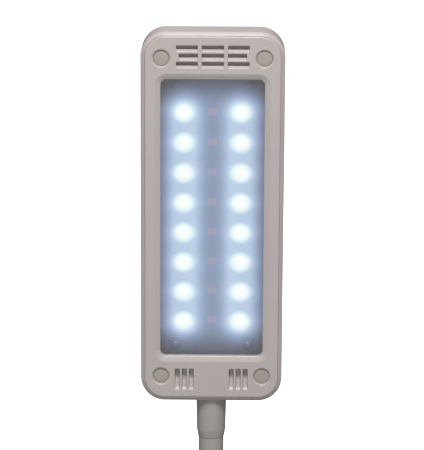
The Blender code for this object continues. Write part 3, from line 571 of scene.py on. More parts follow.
def glare(paint, at):
    """How strongly the LEDs glare at a point of the pane: 0 far from them, 1 over the middle of one."""
    parts = paint.node("SeparateXYZ", {0: at})
    x = paint.math("DIVIDE", paint.math("ABSOLUTE", parts.outputs[0]), MM)
    z = paint.math("DIVIDE", paint.math("SUBTRACT", parts.outputs[2], HEAD_CENTRE), MM)
    column, pitch = LED_COLUMN / MM, LED_PITCH / MM
    near = squared_off(paint, x, column)
    far = squared_off(paint, x, -column)
    across = paint.math("ADD", bell(paint, [near], GLARE_REACH), bell(paint, [far], GLARE_REACH))
    along = 0.0
    for height in LED_HEIGHTS:
        along = paint.math("ADD", bell(paint, [squared_off(paint, z, height / MM)], GLARE_REACH), along)
    wide = paint.math("MULTIPLY", paint.math("MULTIPLY", across, along), GLARE_STRENGTH)
    cap = {0: wide, 1: GLARE_CAP, 2: GLARE_CAP_EASE}
    wide = paint.node("Math", cap, operation="SMOOTH_MIN").outputs[0]
    up = paint.math("ABSOLUTE", z)
    row = paint.math("MINIMUM", paint.math("FLOOR", paint.math("DIVIDE", up, pitch)), LED_ROWS / 2 - 1)
    nearest = paint.math("MULTIPLY", paint.math("ADD", row, 0.5), pitch)
    widened = paint.math("MULTIPLY", near, CORE_WIDENING)
    core = bell(paint, [widened, squared_off(paint, up, nearest)], CORE_REACH)
    middle = bell(paint, [squared_off(paint, x, 0.0)], MIDDLE_REACH)
    fade = paint.band(up, MIDDLE_FADE_START, MIDDLE_FADE_END, MIDDLE_STRENGTH, 0.0)
    between = paint.math("MULTIPLY", middle, fade)
    level = paint.math("MAXIMUM", wide, core)
    return paint.math("ADD", level, paint.math("MULTIPLY", between, paint.math("SUBTRACT", 1.0, level)))


def make_pane_material():
    """Clear plastic with the LEDs' glare painted on it as glow, bluish round each white middle, and a faint
    grey painted glow over the rest of its front.
    """
    paint = Paint("pane_clear_painted_glare", Roughness=0.12, Emission_Strength=1.0)
    at = paint.place()
    level_of_glare = glare(paint, at)
    depth = paint.node("SeparateXYZ", {0: at}).outputs[1]
    front = paint.math("LESS_THAN", depth, (PANE_FRONT + PANE_BACK) / 2)
    cover = paint.band(level_of_glare, 0.0, VEIL_FULL, VEIL_LEAST, VEIL_MOST)
    veil = paint.math("MULTIPLY", cover, front)
    smears = paint.noise(paint.stretched(at, (1.0, 1.0, 0.35)), 90, 4)
    gloss = paint.node("Fresnel", {"IOR": 1.35}).outputs[0]
    film = paint.math("ADD", paint.math("MULTIPLY", gloss, 0.5), paint.band(smears, 0.4, 0.8, 0.0, 0.02))
    cover = paint.math("MAXIMUM", veil, film, clamp=True)
    colour = paint.node("ValToRGB", {0: level_of_glare})
    ramp = colour.color_ramp
    for step in range(GLARE_STEPS):
        level = step / (GLARE_STEPS - 1)
        ends = {0: 0, GLARE_STEPS - 1: -1}
        stop = ramp.elements[ends[step]] if step in ends else ramp.elements.new(level)
        hidden = cover_of_veil(level)
        behind = (1 - hidden) * BEHIND_VEIL
        stop.color = [max(0.0, channel - behind) / hidden for channel in colour_of_glare(level)] + [1.0]
    lit = paint.math("DIVIDE", veil, cover)
    paint.set("Base Color", paint.mix(lit, (0.05, 0.06, 0.07), (0.0, 0.0, 0.0)))
    # painted glow: the glare and the grey base glow are emitted by the pane itself
    paint.set("Emission Color", paint.mix(lit, (0.0, 0.0, 0.0), colour.outputs[0]))
    paint.set("Alpha", cover)
    paint.material.cycles.emission_sampling = "NONE"
    return paint.material


BOARD_MASK = (0.055, 0.055, 0.052)


def make_board_material():
    """Grey solder mask over copper, which shows as raised tracks and pads round the LEDs."""
    paint = Paint("board_mask", Metallic=0.15)
    at = paint.place()
    parts = paint.node("SeparateXYZ", {0: at})
    x = paint.math("ABSOLUTE", parts.outputs[0])
    z = paint.math("SUBTRACT", parts.outputs[2], HEAD_CENTRE)
    off = paint.math("SUBTRACT", x, LED_COLUMN)
    along = paint.math("SUBTRACT", paint.math("PINGPONG", z, LED_PITCH / 2), LED_PITCH / 2)
    squares = [paint.math("MULTIPLY", side, side) for side in (off, along)]
    far = paint.math("SQRT", paint.math("ADD", *squares))
    pad = paint.band(far, 6.4 * MM, 6.6 * MM, 1.0, 0.0)
    rail = paint.band(paint.math("ABSOLUTE", off), 2.4 * MM, 2.6 * MM, 1.0, 0.0)
    from_bus = paint.math("ABSOLUTE", paint.math("SUBTRACT", x, 28.5 * MM))
    bus = paint.band(from_bus, 1.0 * MM, 1.2 * MM, 1.0, 0.0)
    copper = paint.math("MAXIMUM", paint.math("MAXIMUM", pad, rail), bus)
    mottled = paint.noise(at, 120, 4)
    mask = paint.mix(paint.band(mottled, 0.3, 0.7), BOARD_MASK, shade_of(BOARD_MASK, 1.15))
    base = paint.mix(copper, mask, shade_of(BOARD_MASK, 1.35))
    paint.set("Base Color", base)
    paint.set("Roughness", paint.band(mottled, 0.3, 0.7, 0.42, 0.55))
    paint.set("Normal", paint.bump(copper, 0.06 * MM, 0.8))
    return paint.material


def make_glow_material(name, colour, strength):
    """Silicone over an emitter, with a faint marbling in the phosphor."""
    paint = Paint(name, Base_Color=(0.9, 0.92, 0.85), Roughness=0.25, Emission_Strength=strength)
    cloudy = paint.noise(paint.place(), 1500, 3)
    paint.set("Emission Color", paint.mix(paint.band(cloudy, 0.3, 0.7), colour, shade_of(colour, 0.96)))
    paint.material.cycles.emission_sampling = "NONE"
    return paint.material


CASING = (0.50, 0.450, 0.440)
MATERIALS = {
    "casing": moulded("casing_plastic", CASING, 0.30),
    "plug": moulded("plug_plastic", (0.40, 0.355, 0.315), 0.5),
    "button": moulded("button_plastic", (0.44, 0.395, 0.345), 0.45),
    "foam": moulded("foam_black", (0.03, 0.03, 0.032), 0.9, 0.2 * MM, at_rest=False),
    "filter": moulded("filter_foam", (0.34, 0.29, 0.28), 0.95, 0.3 * MM, at_rest=False),
    "neck_metal": moulded("neck_coating", (0.40, 0.375, 0.352), 0.38, 0.012 * MM),
    "sleeve": moulded("sleeve_skin", (0.385, 0.362, 0.340), 0.48, 0.015 * MM),
    "cable": moulded("cable_sheath", (0.03, 0.03, 0.03), 0.5),
    "gland": moulded("gland_rubber", (0.035, 0.035, 0.035), 0.65, 0.03 * MM),
    "black_plastic": moulded("black_moulding", (0.02, 0.02, 0.02), 0.4, at_rest=False),
    "nylon": moulded("nylon_natural", (0.80, 0.79, 0.74), 0.45, at_rest=False),
    "lead": moulded("lead_insulation", (0.48, 0.03, 0.02), 0.42, at_rest=False),
    "driver": moulded("driver_mask", (0.03, 0.17, 0.08), 0.35, 0.03 * MM, at_rest=False),
    "ceramic": moulded("resistor_ceramic", (0.36, 0.11, 0.045), 0.4),
    "substrate": moulded("led_substrate", (0.74, 0.75, 0.72), 0.4),
    "tin": metal("solder_tin", (0.34, 0.24, 0.20), 0.5),
    "steel": metal("blackened_steel", (0.20, 0.17, 0.15), 0.38),
    "core": metal("wound_steel", (0.45, 0.45, 0.44), 0.38, (1.0, 1.0, 6.0), 500),
    "heat_sink": metal("extruded_aluminium", (0.75, 0.75, 0.76), 0.38, (4.0, 4.0, 0.08)),
    "led_board": make_board_material(),
    "led": make_glow_material("led_silicone", (0.86, 0.945, 0.935), 1.0),
    "pane": make_pane_material(),
}


def finish_frame_nodes():
    """Gives each CAD node that is still shown its material."""
    for row in frame["record"]["subparts"]:
        node = frame["nodes"][row["node"]]
        node.data.materials.clear()
        node.data.materials.append(MATERIALS[row["material_slot"]])


# ---------------------------------------------------------------- casing


def rim_round(depth_in, rounding=0.3 * MM):
    """How far a hole's edge is still rounded outwards at a depth below the face."""
    if depth_in >= rounding:
        return 0.0
    lift = 1 - depth_in / rounding
    return rounding * (1 - math.sqrt(max(0.0, 1 - lift * lift)))


def slot_outlines(left, right, bottom, top, floor, end, corner=0.5 * MM):
    """A vent's outlines from the face inwards. floor is (depth, rise) pairs for its lower side."""
    depths = [0.3 * MM * (1 - math.cos(math.radians(90) * k / 4)) for k in range(5)]
    depths += [d for d, _ in floor if d > 0.3 * MM] + [end]
    rounds = [rim_round(d) for d in depths]
    rises = [float(np.interp(d, [f[0] for f in floor], [f[1] for f in floor])) for d in depths]
    grown = rounds[0] + 0.12 * MM
    outlines = [outline(left - grown, right + grown, bottom - grown, top + grown, corner + grown, FACE, 5)]
    for depth, out, rise in zip(depths, rounds, rises):
        outlines.append(
            outline(left - out, right + out, bottom - out + rise, top + out, corner + out, FACE + depth, 5)
        )
    return outlines


def top_slots():
    """(left, right, bottom, top) of the nine vents above the window."""
    slots = []
    for row, z in enumerate(TOP_SLOT_ROWS):
        end = TOP_SLOT_SHORT_END if row == 1 else TOP_SLOT_OUTER_END
        half = TOP_SLOT_HEIGHT / 2
        middle = (-TOP_SLOT_MIDDLE, TOP_SLOT_MIDDLE)
        spans = ((-end, -TOP_SLOT_INNER_END), middle, (TOP_SLOT_INNER_END, end))
        slots += [(left, right, z - half, z + half) for left, right in spans]
    return slots


def make_front_bezel():
    """The face plate, with every edge rounded: window, vents and screw wells."""
    shape = Shape()
    edge = SIDE_WALL + SEAM_GAP
    profile = [(edge + BEZEL_BEVEL + 0.3 * MM, FACE)]
    for step in range(8):
        a = math.radians(90) * step / 7
        profile.append((edge + BEZEL_BEVEL * (1 - math.sin(a)), FACE + (SEAM - FACE) * (1 - math.cos(a))))
    profile.append((edge, BEZEL_BACK))
    face_edge, back_edge = shape.tunnel([head_outline(inset, depth) for inset, depth in profile])
    fronts, backs = [face_edge], [back_edge]

    window = filleted(
        [
            (WINDOW_CHAMFER + 0.5 * MM, FACE, 0),
            (WINDOW_CHAMFER, FACE, 0.8 * MM),
            (0, FACE + WINDOW_CHAMFER_DEPTH, 0.9 * MM),
            (0, WINDOW_RIM_BACK, 0.15 * MM),
            (WINDOW_RIM, WINDOW_RIM_BACK, 0.2 * MM),
            (WINDOW_RIM, BEZEL_BACK, 0),
        ]
    )
    near, far = shape.tunnel(
        [
            centred(WINDOW_WIDTH + 2 * out, WINDOW_HEIGHT + 2 * out, WINDOW_CORNER + out, depth, 12)
            for out, depth in window
        ]
    )
    fronts.append(near)
    backs.append(far)

    well = filleted(
        [
            (WELL_RADIUS + WELL_CHAMFER + 0.3 * MM, FACE, 0),
            (WELL_RADIUS + WELL_CHAMFER, FACE, 0.35 * MM),
            (WELL_RADIUS, FACE + WELL_CHAMFER, 0.3 * MM),
            (WELL_RADIUS, WELL_FLOOR, 0.2 * MM),
            (2 * MM, WELL_FLOOR, 0.1 * MM),
            (2 * MM, WELL_BACK, 0.1 * MM),
            (WELL_OUTER_RADIUS, WELL_BACK, 0.4 * MM),
            (WELL_OUTER_RADIUS, BEZEL_BACK, 0),
        ]
    )
    for x, z in corners_of(CASING_SCREW_X, CASING_SCREW_Z):
        near, far = shape.tunnel([circle(x, z, radius, depth) for radius, depth in well])
        fronts.append(near)
        backs.append(far)

    for left, right, bottom, top in top_slots():
        near, far = shape.tunnel(slot_outlines(left, right, bottom, top, TOP_SLOT_FLOOR, BEZEL_BACK - FACE))
        fronts.append(near)
        backs.append(far)

    for side in (-1, 1):
        middle = side * LOW_SLOT_GROUP
        block = (middle - 7.5 * MM, middle + 7.5 * MM, LOW_SLOT_BOTTOM - 1.2 * MM, LOW_SLOT_TOP + 1.2 * MM)
        back_rings = list(shape.tunnel([outline(*block, MM, d) for d in (LOW_SLOT_BLOCK_BACK, BEZEL_BACK)]))
        backs.append(back_rings.pop())
        for step in (-1, 0, 1):
            x = middle + step * LOW_SLOT_PITCH
            edges = (x - LOW_SLOT_WIDTH / 2, x + LOW_SLOT_WIDTH / 2, LOW_SLOT_BOTTOM, LOW_SLOT_TOP)
            near, far = shape.tunnel(slot_outlines(*edges, LOW_SLOT_FLOOR, LOW_SLOT_BLOCK_BACK - FACE))
            fronts.append(near)
            back_rings.append(far)
        shape.fill(back_rings)
    shape.fill(fronts)
    shape.fill(backs)
    add_to_head("bezel", shape, "casing", ["front_bezel"])


def make_rear_shell():
    """The tub, with a rounded rim and back, vents and the button's hole."""
    shape = Shape()
    profile = filleted(
        [
            (SIDE_WALL + 2.5 * MM, CAVITY_BACK, 0),
            (SIDE_WALL + 2 * MM, CAVITY_BACK, 0.4 * MM),
            (SIDE_WALL, CAVITY_BACK - SIDE_WALL, 0.4 * MM),
            (SIDE_WALL, SEAM, 0.08 * MM),
            (SIDE_WALL - 0.1 * MM, SEAM, 0),
        ]
    )
    bevel = [
        (RIM_BEVEL + 0.2 * MM, SEAM, 0),
        (RIM_BEVEL, SEAM, 0.5 * MM),
        (0, SEAM + RIM_BEVEL_DEPTH, 1.2 * MM),
        (0, 0, 0),
    ]
    rounding = filleted(bevel, 8)
    back = filleted([(0, 0, 0), (0, BACK, BACK_ROUNDING), (BACK_ROUNDING, BACK, 0)], 10)
    profile += rounding[1:-1] + back[1:-1] + [(BACK_ROUNDING + 0.5 * MM, BACK)]
    inner_edge, outer_edge = shape.tunnel([head_outline(inset, depth) for inset, depth in profile])
    insides, outsides = [inner_edge], [outer_edge]
    hole = filleted(
        [
            (0.8 * MM, BACK, 0),
            (0, BACK, 0.45 * MM),
            (0, CAVITY_BACK, 0.12 * MM),
            (0.3 * MM, CAVITY_BACK, 0),
        ]
    )
    for low in REAR_VENT_GROUPS:
        for row in range(REAR_VENT_ROWS):
            z = low + row * REAR_VENT_PITCH
            vents = [
                (REAR_VENT_WIDTH + 2 * out, REAR_VENT_HEIGHT + 2 * out, REAR_VENT_CORNER + out, depth, 6, z)
                for out, depth in hole
            ]
            near, far = shape.tunnel([centred(*vent) for vent in vents])
            outsides.append(near)
            insides.append(far)
    near, far = shape.tunnel([circle(0, BUTTON_Z, BUTTON_RADIUS + GAP + out, depth) for out, depth in hole])
    outsides.append(near)
    insides.append(far)
    shape.fill(outsides)
    shape.fill(insides)
    bore = Shape()
    low, high = SPIGOT_BORE_ENDS
    radius = SPIGOT_RADIUS + 0.4 * MM
    bore.turn([(0, low), (radius, low), (radius, high), (0, high)], 64, IN_PLACE)
    add_to_head("rear_casing", shape, "casing", ["rear_shell"], cutters=[bore])

    posts = Shape()
    boss = (BOSS_RADIUS, WELL_BACK + GAP, 1.9 * MM)
    post = (BOARD_POST_RADIUS, SINK_PLATE_BACK + GAP, 1.5 * MM)
    stands = [(*spot, *boss) for spot in corners_of(CASING_SCREW_X, CASING_SCREW_Z)]
    stands += [(*spot, *post) for spot in corners_of(BOARD_SCREW_X, BOARD_SCREW_Z)]
    for x, z, radius, front, bore_radius in stands:
        profile = filleted(
            [
                (bore_radius, CAVITY_BACK, 0),
                (bore_radius, front, 0.2 * MM),
                (radius, front, 0.3 * MM),
                (radius, CAVITY_BACK, 0),
            ]
        )
        posts.turn(profile, 32, facing(x, z, 1), closed=True)
    add_to_head("casing_posts", posts, "casing")


def make_plugs():
    """A cap in each screw's well: a shallow crown with a softened edge."""
    crown = filleted(
        [
            (0, -PLUG_FRONT + 0.05 * MM, 0),
            (3.2 * MM, -PLUG_FRONT + 0.02 * MM, 2 * MM),
            (PLUG_RADIUS, -PLUG_FRONT - 0.25 * MM, 0.5 * MM),
            (PLUG_RADIUS, -PLUG_BACK, 0.2 * MM),
            (0, -PLUG_BACK, 0),
        ],
        6,
    )
    for number, (x, z) in enumerate(corners_of(CASING_SCREW_X, CASING_SCREW_Z), 1):
        shape = Shape()
        shape.turn(crown, 64, facing(x, z, -1))
        add_to_head(f"plug_{number}", shape, "plug", [f"screw_plug_{number}"])


def make_power_button():
    """The dished push button in the back, with a flange inside the shell and a stem to the switch."""
    profile = filleted(
        [
            (0, 15.15 * MM, 0),
            (3.0 * MM, 15.2 * MM, 3 * MM),
            (4.6 * MM, 15.55 * MM, 0.8 * MM),
            (BUTTON_RADIUS, 14.9 * MM, 0.9 * MM),
            (BUTTON_RADIUS, 11.7 * MM, 0),
            (7.2 * MM, 11.7 * MM, 0.2 * MM),
            (7.2 * MM, 10.6 * MM, 0.2 * MM),
            (1.3 * MM, 10.6 * MM, 0.2 * MM),
            (1.3 * MM, 7.9 * MM, 0.2 * MM),
            (0, 7.9 * MM, 0),
        ],
        6,
    )
    shape = Shape()
    shape.turn(profile, 64, facing(0, BUTTON_Z, 1))
    button = MATERIALS["button"]
    add_piece("push_button", shape, button, "power_button", "button", ["power_button"], where=AT_HEAD)


# ---------------------------------------------------------------- light engine


def make_pane():
    width = WINDOW_WIDTH + 2 * PANE_MARGIN
    height = WINDOW_HEIGHT + 2 * PANE_MARGIN
    corner = WINDOW_CORNER + PANE_MARGIN
    front, back = PANE_FRONT, PANE_BACK
    profile = filleted([(MM, front, 0), (0, front, 0.2 * MM), (0, back, 0.2 * MM), (MM, back, 0)])
    shape = Shape()
    shape.solid([centred(width - 2 * i, height - 2 * i, corner - i, depth) for i, depth in profile])
    add_to_head("pane", shape, "pane", ["window_pane"])


def soft_block(shape, left, right, bottom, top, front, back, rounding):
    """A block with rounded edges, standing out from back to front."""
    profile = filleted([(2 * rounding, front, 0), (0, front, rounding), (0, back, 0)], 3)
    corners = [rounding * 2.2 - min(inset, rounding * 2) for inset, _ in profile]
    shape.solid(
        [outline(left + i, right - i, bottom + i, top - i, r, d, 3) for (i, d), r in zip(profile, corners)]
    )


def make_led_board():
    """The board with its screw holes, a resistor between each pair of LEDs, and the LEDs."""
    shape = Shape()
    profile = filleted(
        [
            (0.6 * MM, LED_BOARD_FRONT, 0),
            (0, LED_BOARD_FRONT, 0.1 * MM),
            (0, LED_BOARD_BACK, 0.1 * MM),
            (0.6 * MM, LED_BOARD_BACK, 0),
        ],
        2,
    )
    front, back = shape.tunnel(
        [centred(BOARD_WIDTH - 2 * i, BOARD_HEIGHT - 2 * i, 3 * MM - i, depth) for i, depth in profile]
    )
    fronts, backs = [front], [back]
    for x, z in corners_of(BOARD_SCREW_X, BOARD_SCREW_Z):
        depths = (LED_BOARD_FRONT, LED_BOARD_BACK)
        near, far = shape.tunnel([circle(x, z, BOARD_SCREW_HOLE_RADIUS, d, 24) for d in depths])
        fronts.append(near)
        backs.append(far)
    shape.fill(fronts)
    shape.fill(backs)
    add_to_head("board", shape, "led_board", ["led_board"])

    for number, z in enumerate(LED_HEIGHTS, 1):
        body = Shape()
        front = LED_BOARD_FRONT - 1.1 * MM
        edges = (-2.4 * MM, 2.4 * MM, z - 2.1 * MM, z + 2.1 * MM)
        soft_block(body, *edges, front, LED_BOARD_FRONT, 0.12 * MM)
        add_piece(f"resistor_{number}", body, MATERIALS["ceramic"], "head", where=AT_HEAD)
        ends = Shape()
        for sign in (-1, 1):
            left, right = sorted((sign * 2.25 * MM, sign * 3.0 * MM))
            front = LED_BOARD_FRONT - 1.0 * MM
            soft_block(ends, left, right, z - 2.2 * MM, z + 2.2 * MM, front, LED_BOARD_FRONT, 0.1 * MM)
        add_piece(f"resistor_{number}_ends", ends, MATERIALS["tin"], "head", where=AT_HEAD)

    foot = -LED_BOARD_FRONT + GAP
    step = foot + LED_BASE_HEIGHT
    base = filleted(
        [
            (0, foot, 0),
            (LED_BASE_RADIUS, foot, 0),
            (LED_BASE_RADIUS, step, 0.15 * MM),
            (LED_DOME_RADIUS + 0.1 * MM, step, 0.1 * MM),
            (LED_DOME_RADIUS + 0.1 * MM, step - 0.3 * MM, 0),
            (0, step - 0.3 * MM, 0),
        ],
        3,
    )
    dome = [(0, step - 0.28 * MM), (LED_DOME_RADIUS, step - 0.28 * MM)]
    rise = LED_HEIGHT - LED_BASE_HEIGHT
    for k in range(9):
        a = math.radians(90) * k / 8
        dome.append((LED_DOME_RADIUS * math.cos(a) if k < 8 else 0, step + rise * math.sin(a)))
    for side, x in (("left", -LED_COLUMN), ("right", LED_COLUMN)):
        for row, z in enumerate(LED_HEIGHTS, 1):
            name = f"led_{side}_{row}"
            for part, profile, material in (("base", base, "substrate"), ("dome", dome, "led")):
                shape = Shape()
                shape.turn(profile, 32, facing(x, z, -1))
                add_to_head(f"{name}_{part}", shape, "led", [name], material)


# ---------------------------------------------------------------- neck and foot


def make_collar_and_ferrule():
    """The two satin sleeves that grip the neck: one under the head, one on the foot."""
    first_bend = FLEX_BOTTOM + BEND_PITCH / 2
    last_bend = FLEX_TOP - BEND_PITCH / 2
    mouth = 1.2 * MM
    collar = [
        (CORE_BORE_RADIUS, HEAD_BOTTOM + SPIGOT_RISE, 0.2 * MM),
        (SPIGOT_RADIUS, HEAD_BOTTOM + SPIGOT_RISE, 0.5 * MM),
        (SPIGOT_RADIUS, COLLAR_TOP, 0),
        (COLLAR_SHOULDER_RADIUS, COLLAR_TOP, 0.5 * MM),
        (COLLAR_WAIST_RADIUS, FLEX_TOP + COLLAR_CHAMFER, 1.5 * MM),
        (COLLAR_MOUTH_RADIUS, FLEX_TOP, 0.12 * MM),
        (SLEEVE_RADIUS + 0.1 * MM, FLEX_TOP, 0.05 * MM),
        (SLEEVE_RADIUS + 0.1 * MM, FLEX_TOP + mouth, 0),
        (CORE_RADIUS, FLEX_TOP + mouth, 0),
        (CORE_RADIUS, last_bend + CORE_GAP / 2, 0.8 * MM),
        (CORE_BORE_RADIUS, last_bend + CORE_GAP / 2, 0.2 * MM),
    ]
    shape = Shape()
    shape.turn(filleted(collar, 6, closed=True), 96, IN_PLACE, closed=True)
    add_piece("collar", shape, MATERIALS["neck_metal"], "neck_top", "neck_metal", ["neck_collar"])
    ferrule = [
        (CORE_BORE_RADIUS, first_bend - CORE_GAP / 2, 0.2 * MM),
        (CORE_RADIUS, first_bend - CORE_GAP / 2, 0.8 * MM),
        (CORE_RADIUS, FLEX_BOTTOM - mouth, 0),
        (SLEEVE_RADIUS + 0.1 * MM, FLEX_BOTTOM - mouth, 0),
        (SLEEVE_RADIUS + 0.1 * MM, FLEX_BOTTOM, 0.05 * MM),
        (COLLAR_MOUTH_RADIUS, FLEX_BOTTOM, 0.12 * MM),
        (COLLAR_WAIST_RADIUS, FLEX_BOTTOM - COLLAR_CHAMFER, 1.5 * MM),
        (COLLAR_SHOULDER_RADIUS, FERRULE_BOTTOM, 0.5 * MM),
        (CORE_BORE_RADIUS, FERRULE_BOTTOM, 0.2 * MM),
    ]
    shape = Shape()
    shape.turn(filleted(ferrule, 6, closed=True), 96, IN_PLACE, closed=True)
    add_piece("ferrule", shape, MATERIALS["neck_metal"], "foot", "neck_metal", ["foot_ferrule"])


def tube_length(radius, bore, low, high, rings, steps):
    """A straight stretch of tube, or of rod if it has no bore, with enough rings to bend."""
    heights = [low + (high - low) * k / rings for k in range(rings + 1)]
    shape = Shape()
    profile = [(radius, h) for h in heights]
    if bore:
        profile += [(bore, h) for h in reversed(heights)]
        shape.turn(profile, steps, IN_PLACE, closed=True)
    else:
        shape.turn([(0, low)] + profile + [(0, high)], steps, IN_PLACE)
    return shape


def add_bending(name, radius, bore, slot, stands_for, steps, grip=0.0):
    """One length for each bend of the neck, built straight where it stands at rest.

    grip is how far the first and the last length reach into the ferrule and the collar.
    """
    for number in range(1, BENDS + 1):
        low = FLEX_BOTTOM + (number - 1) * BEND_PITCH
        high = low + BEND_PITCH
        bottom = low - grip if number == 1 else low
        top = high + grip if number == BENDS else high
        shape = tube_length(radius, bore, bottom, top, 16, steps)
        obj = object_of(f"{name}_{number:02d}", shape, MATERIALS[slot])
        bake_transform(obj)
        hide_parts(stands_for)


def path_tube(points, radius, steps=24):
    """A rod along points that lie in the plane x = 0."""
    shape = Shape()
    outlines = []
    for i, point in enumerate(points):
        here = Vector(point)
        ahead = (Vector(points[min(i + 1, len(points) - 1)]) - Vector(points[max(i - 1, 0)])).normalized()
        side = Vector((1, 0, 0))
        up = ahead.cross(side)
        angles = [math.tau * k / steps for k in range(steps)]
        outlines.append([here + (side * math.cos(a) + up * math.sin(a)) * radius for a in angles])
    shape.solid(outlines)
    return shape


def add_cable_end(name, shape, body):
    add_piece(name, shape, MATERIALS["cable"], body, "cable", ["supply_cable"])


def make_supply_cable():
    """The cable from the gland, up inside the neck, to the terminal block in the head."""
    points = [(0, GLAND_SEAT + GLAND_LENGTH, OUTLET_HEIGHT)]
    for step in range(13):
        a = math.radians(270 - 90 * step / 12)
        points.append((0, CABLE_BEND * (1 + math.cos(a)), OUTLET_HEIGHT + CABLE_BEND * (1 + math.sin(a))))
    points.append((0, 0, FLEX_BOTTOM))
    add_cable_end("cable_foot_end", path_tube(points, CABLE_RADIUS), "foot")
    add_bending("cable_length", CABLE_RADIUS, 0, "cable", "supply_cable", 24)
    swivel = COLLAR_TOP + 4 * MM
    add_cable_end("cable_in_collar", tube_length(CABLE_RADIUS, 0, FLEX_TOP, swivel, 1, 24), "neck_top")
    start = HEAD_BOTTOM + SPIGOT_RISE + MM
    end = HEAD_CENTRE + DRIVER_BOTTOM - GAP
    depth = DRIVER_BACK + 2.8 * MM
    points = [(0, 0, swivel + GAP), (0, 0, start)]
    for step in range(1, 15):
        share = step / 14
        eased = share * share * (3 - 2 * share)
        points.append((0, depth * eased, start + (end - 4 * MM - start) * share))
    points.append((0, depth, end))
    add_cable_end("cable_in_head", path_tube(points, CABLE_RADIUS), "head")


def make_foot():
    """The flange with its hub, countersunk holes and the cable's gland."""
    flange = filleted(
        [
            (0, HUB_FLOOR, 0),
            (HUB_BORE_RADIUS, HUB_FLOOR, 0.3 * MM),
            (HUB_BORE_RADIUS, HUB_TOP, 0.3 * MM),
            (HUB_TOP_RADIUS, HUB_TOP, MM),
            (HUB_TOP_RADIUS + 1.2 * MM, FLANGE_THICKNESS + 3 * MM, 2 * MM),
            (HUB_FOOT_RADIUS + 0.6 * MM, FLANGE_THICKNESS, 2 * MM),
            (HUB_FOOT_RADIUS + 3.5 * MM, FLANGE_THICKNESS, 0),
            (FLANGE_RADIUS - 2.2 * MM, FLANGE_THICKNESS, 0),
            (FLANGE_RADIUS, FLANGE_THICKNESS, 1.2 * MM),
            (FLANGE_RADIUS, 0, 0.5 * MM),
            (FLANGE_RADIUS - 1.5 * MM, 0, 0),
            (0, 0, 0),
        ],
        6,
    )
    shape = Shape()
    shape.turn(flange, 96, IN_PLACE)
    outlet = Shape()
    drill = [(0, 3 * MM), (OUTLET_RADIUS, 3 * MM), (OUTLET_RADIUS, FLANGE_RADIUS), (0, FLANGE_RADIUS)]
    outlet.turn(drill, 48, facing(0, OUTLET_HEIGHT, 1))
    seat = Shape()
    seat.solid(
        [
            outline(-8 * MM, 8 * MM, FLANGE_THICKNESS - MM, 2 * HUB_TOP, MM, depth, 4)
            for depth in (GLAND_SEAT, GLAND_SEAT + 6 * MM)
        ]
    )
    cutters = [outlet, seat]
    sink = [
        (0, -MM),
        (FIXING_HOLE_RADIUS, -MM),
        (FIXING_HOLE_RADIUS, FLANGE_THICKNESS - 2.4 * MM),
        (FIXING_HOLE_RADIUS * 2.2, FLANGE_THICKNESS + 0.5 * MM),
        (FIXING_HOLE_RADIUS * 2.2, HUB_TOP),
        (0, HUB_TOP),
    ]
    for i in range(FIXING_HOLES):
        angle = math.radians(270 + 360 * i / FIXING_HOLES)
        spot = Vector((math.cos(angle), math.sin(angle), 0)) * FIXING_CIRCLE_RADIUS
        hole = Shape()
        hole.turn(sink, 48, Matrix.Translation(spot))
        cutters.append(hole)
    coated = MATERIALS["neck_metal"]
    add_piece("flange", shape, coated, "foot", "neck_metal", ["foot_flange"], cutters=cutters)

    gland = filleted(
        [
            (CABLE_RADIUS + 0.05 * MM, GLAND_LENGTH, 0.2 * MM),
            (3.4 * MM, GLAND_LENGTH, 0.3 * MM),
            (5.2 * MM, GLAND_LENGTH - 0.9 * MM, 0.4 * MM),
            (5.2 * MM, 0, 0.1 * MM),
            (OUTLET_RADIUS - GAP, 0, 0),
            (OUTLET_RADIUS - GAP, -4 * MM, 0.2 * MM),
            (CABLE_RADIUS + 0.05 * MM, -4 * MM, 0.2 * MM),
        ],
        4,
        closed=True,
    )
    shape = Shape()
    where = Matrix.Translation((0, GLAND_SEAT + GAP, 0)) @ facing(0, OUTLET_HEIGHT, 1)
    shape.turn(gland, 48, where, closed=True)
    add_piece("gland", shape, MATERIALS["gland"], "foot", "gland", ["cable_gland"])


# ---------------------------------------------------------------- stage


def aim(obj, target):
    obj.rotation_mode = "QUATERNION"
    obj.rotation_quaternion = (Vector(target) - obj.location).to_track_quat("-Z", "Y")


def direction(rise, side):
    """Towards the front, this many degrees up and to the right."""
    up, right = math.radians(rise), math.radians(side)
    return Vector((math.cos(up) * math.sin(right), -math.cos(up) * math.cos(right), math.sin(up)))


def add_light(name, where, target, size, power, colour=(1.0, 1.0, 1.0)):
    light = bpy.data.lights.new(name, "AREA")
    light.shape = "DISK"
    light.size = size
    light.energy = power
    light.color = colour
    obj = bpy.data.objects.new(name, light)
    obj.location = where
    bpy.context.scene.collection.objects.link(obj)
    aim(obj, target)
    return obj


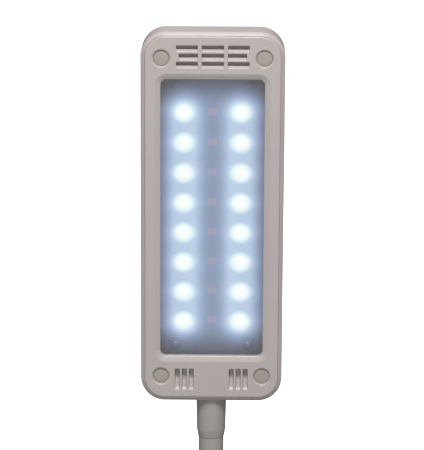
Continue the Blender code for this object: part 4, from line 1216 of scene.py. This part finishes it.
def make_stage():
    """A pale floor that curves up into a dome, and soft lights."""
    head = Vector((0, FACE, HEAD_CENTRE))
    profile = [(0, 0), (6.0, 0)]
    profile += [(12 - 6 * (1 - math.sin(a)), 6 * (1 - math.cos(a))) for a in np.radians(range(10, 91, 10))]
    profile += [(12 * math.cos(a), 6 + 12 * math.sin(a)) for a in np.radians(range(15, 90, 15))] + [(0, 18)]
    shape = Shape()
    shape.turn(profile, 48, IN_PLACE)
    paint = Paint("floor_white", Roughness=0.9, Emission_Color=(1.0, 1.0, 1.0), Emission_Strength=1.05)
    cloudy = paint.noise(paint.own_place(), 1.5, 3)
    paint.set("Base Color", paint.mix(cloudy, (0.86, 0.86, 0.86), (0.88, 0.88, 0.88)))
    paint.material.cycles.emission_sampling = "NONE"
    floor = object_of("floor", shape, paint.material)
    floor.location.z = -0.5 * MM
    floor.visible_diffuse = False
    floor.visible_glossy = False
    floor.visible_shadow = False

    world = bpy.data.worlds.new("studio")
    world.use_nodes = True
    background = world.node_tree.nodes["Background"]
    background.inputs["Color"].default_value = (1.0, 0.99, 0.98, 1.0)
    background.inputs["Strength"].default_value = 0.18
    bpy.context.scene.world = world

    add_light("key", head + 1.6 * direction(53, 1), head, 0.6, 22.5, (1.0, 0.995, 0.99))
    add_light("front_fill", (0.0, -1.9, 0.35), (0, 0, 0.4), 1.0, 9.0).visible_glossy = False
    add_light("top_fill", (0.0, 0.4, 1.9), (0, 0, 0.45), 0.6, 5.0).visible_glossy = False
    add_light("back_fill", (0.0, 1.9, 1.2), (0, 0, 0.35), 0.9, 16.0).visible_glossy = False
    bpy.context.scene.view_settings.view_transform = "Standard"


def make_camera():
    camera = bpy.data.cameras.new("camera")
    camera.sensor_width = 36.0
    camera.lens = 203.5
    camera.clip_start = 0.05
    camera.clip_end = 50.0
    obj = bpy.data.objects.new("camera", camera)
    bpy.context.scene.collection.objects.link(obj)
    head = Vector((0, FACE, HEAD_CENTRE))
    obj.location = head + 1.6 * direction(13.25, 0.5)
    target = head - Vector((0, 0, 3.2 * MM))
    look = (target - obj.location).to_track_quat("-Z", "Y")
    roll = Matrix.Rotation(math.radians(0.3), 4, "Z").to_quaternion()
    obj.rotation_mode = "QUATERNION"
    obj.rotation_quaternion = look @ roll
    bpy.context.scene.camera = obj


finish_frame_nodes()
make_rear_shell()
make_front_bezel()
make_plugs()
make_power_button()
make_pane()
make_led_board()
make_collar_and_ferrule()
add_bending("neck_sleeve", SLEEVE_RADIUS, SLEEVE_RADIUS - SLEEVE_WALL, "sleeve", "neck_sleeve", 64, MM)
make_supply_cable()
make_foot()
make_stage()
make_camera()
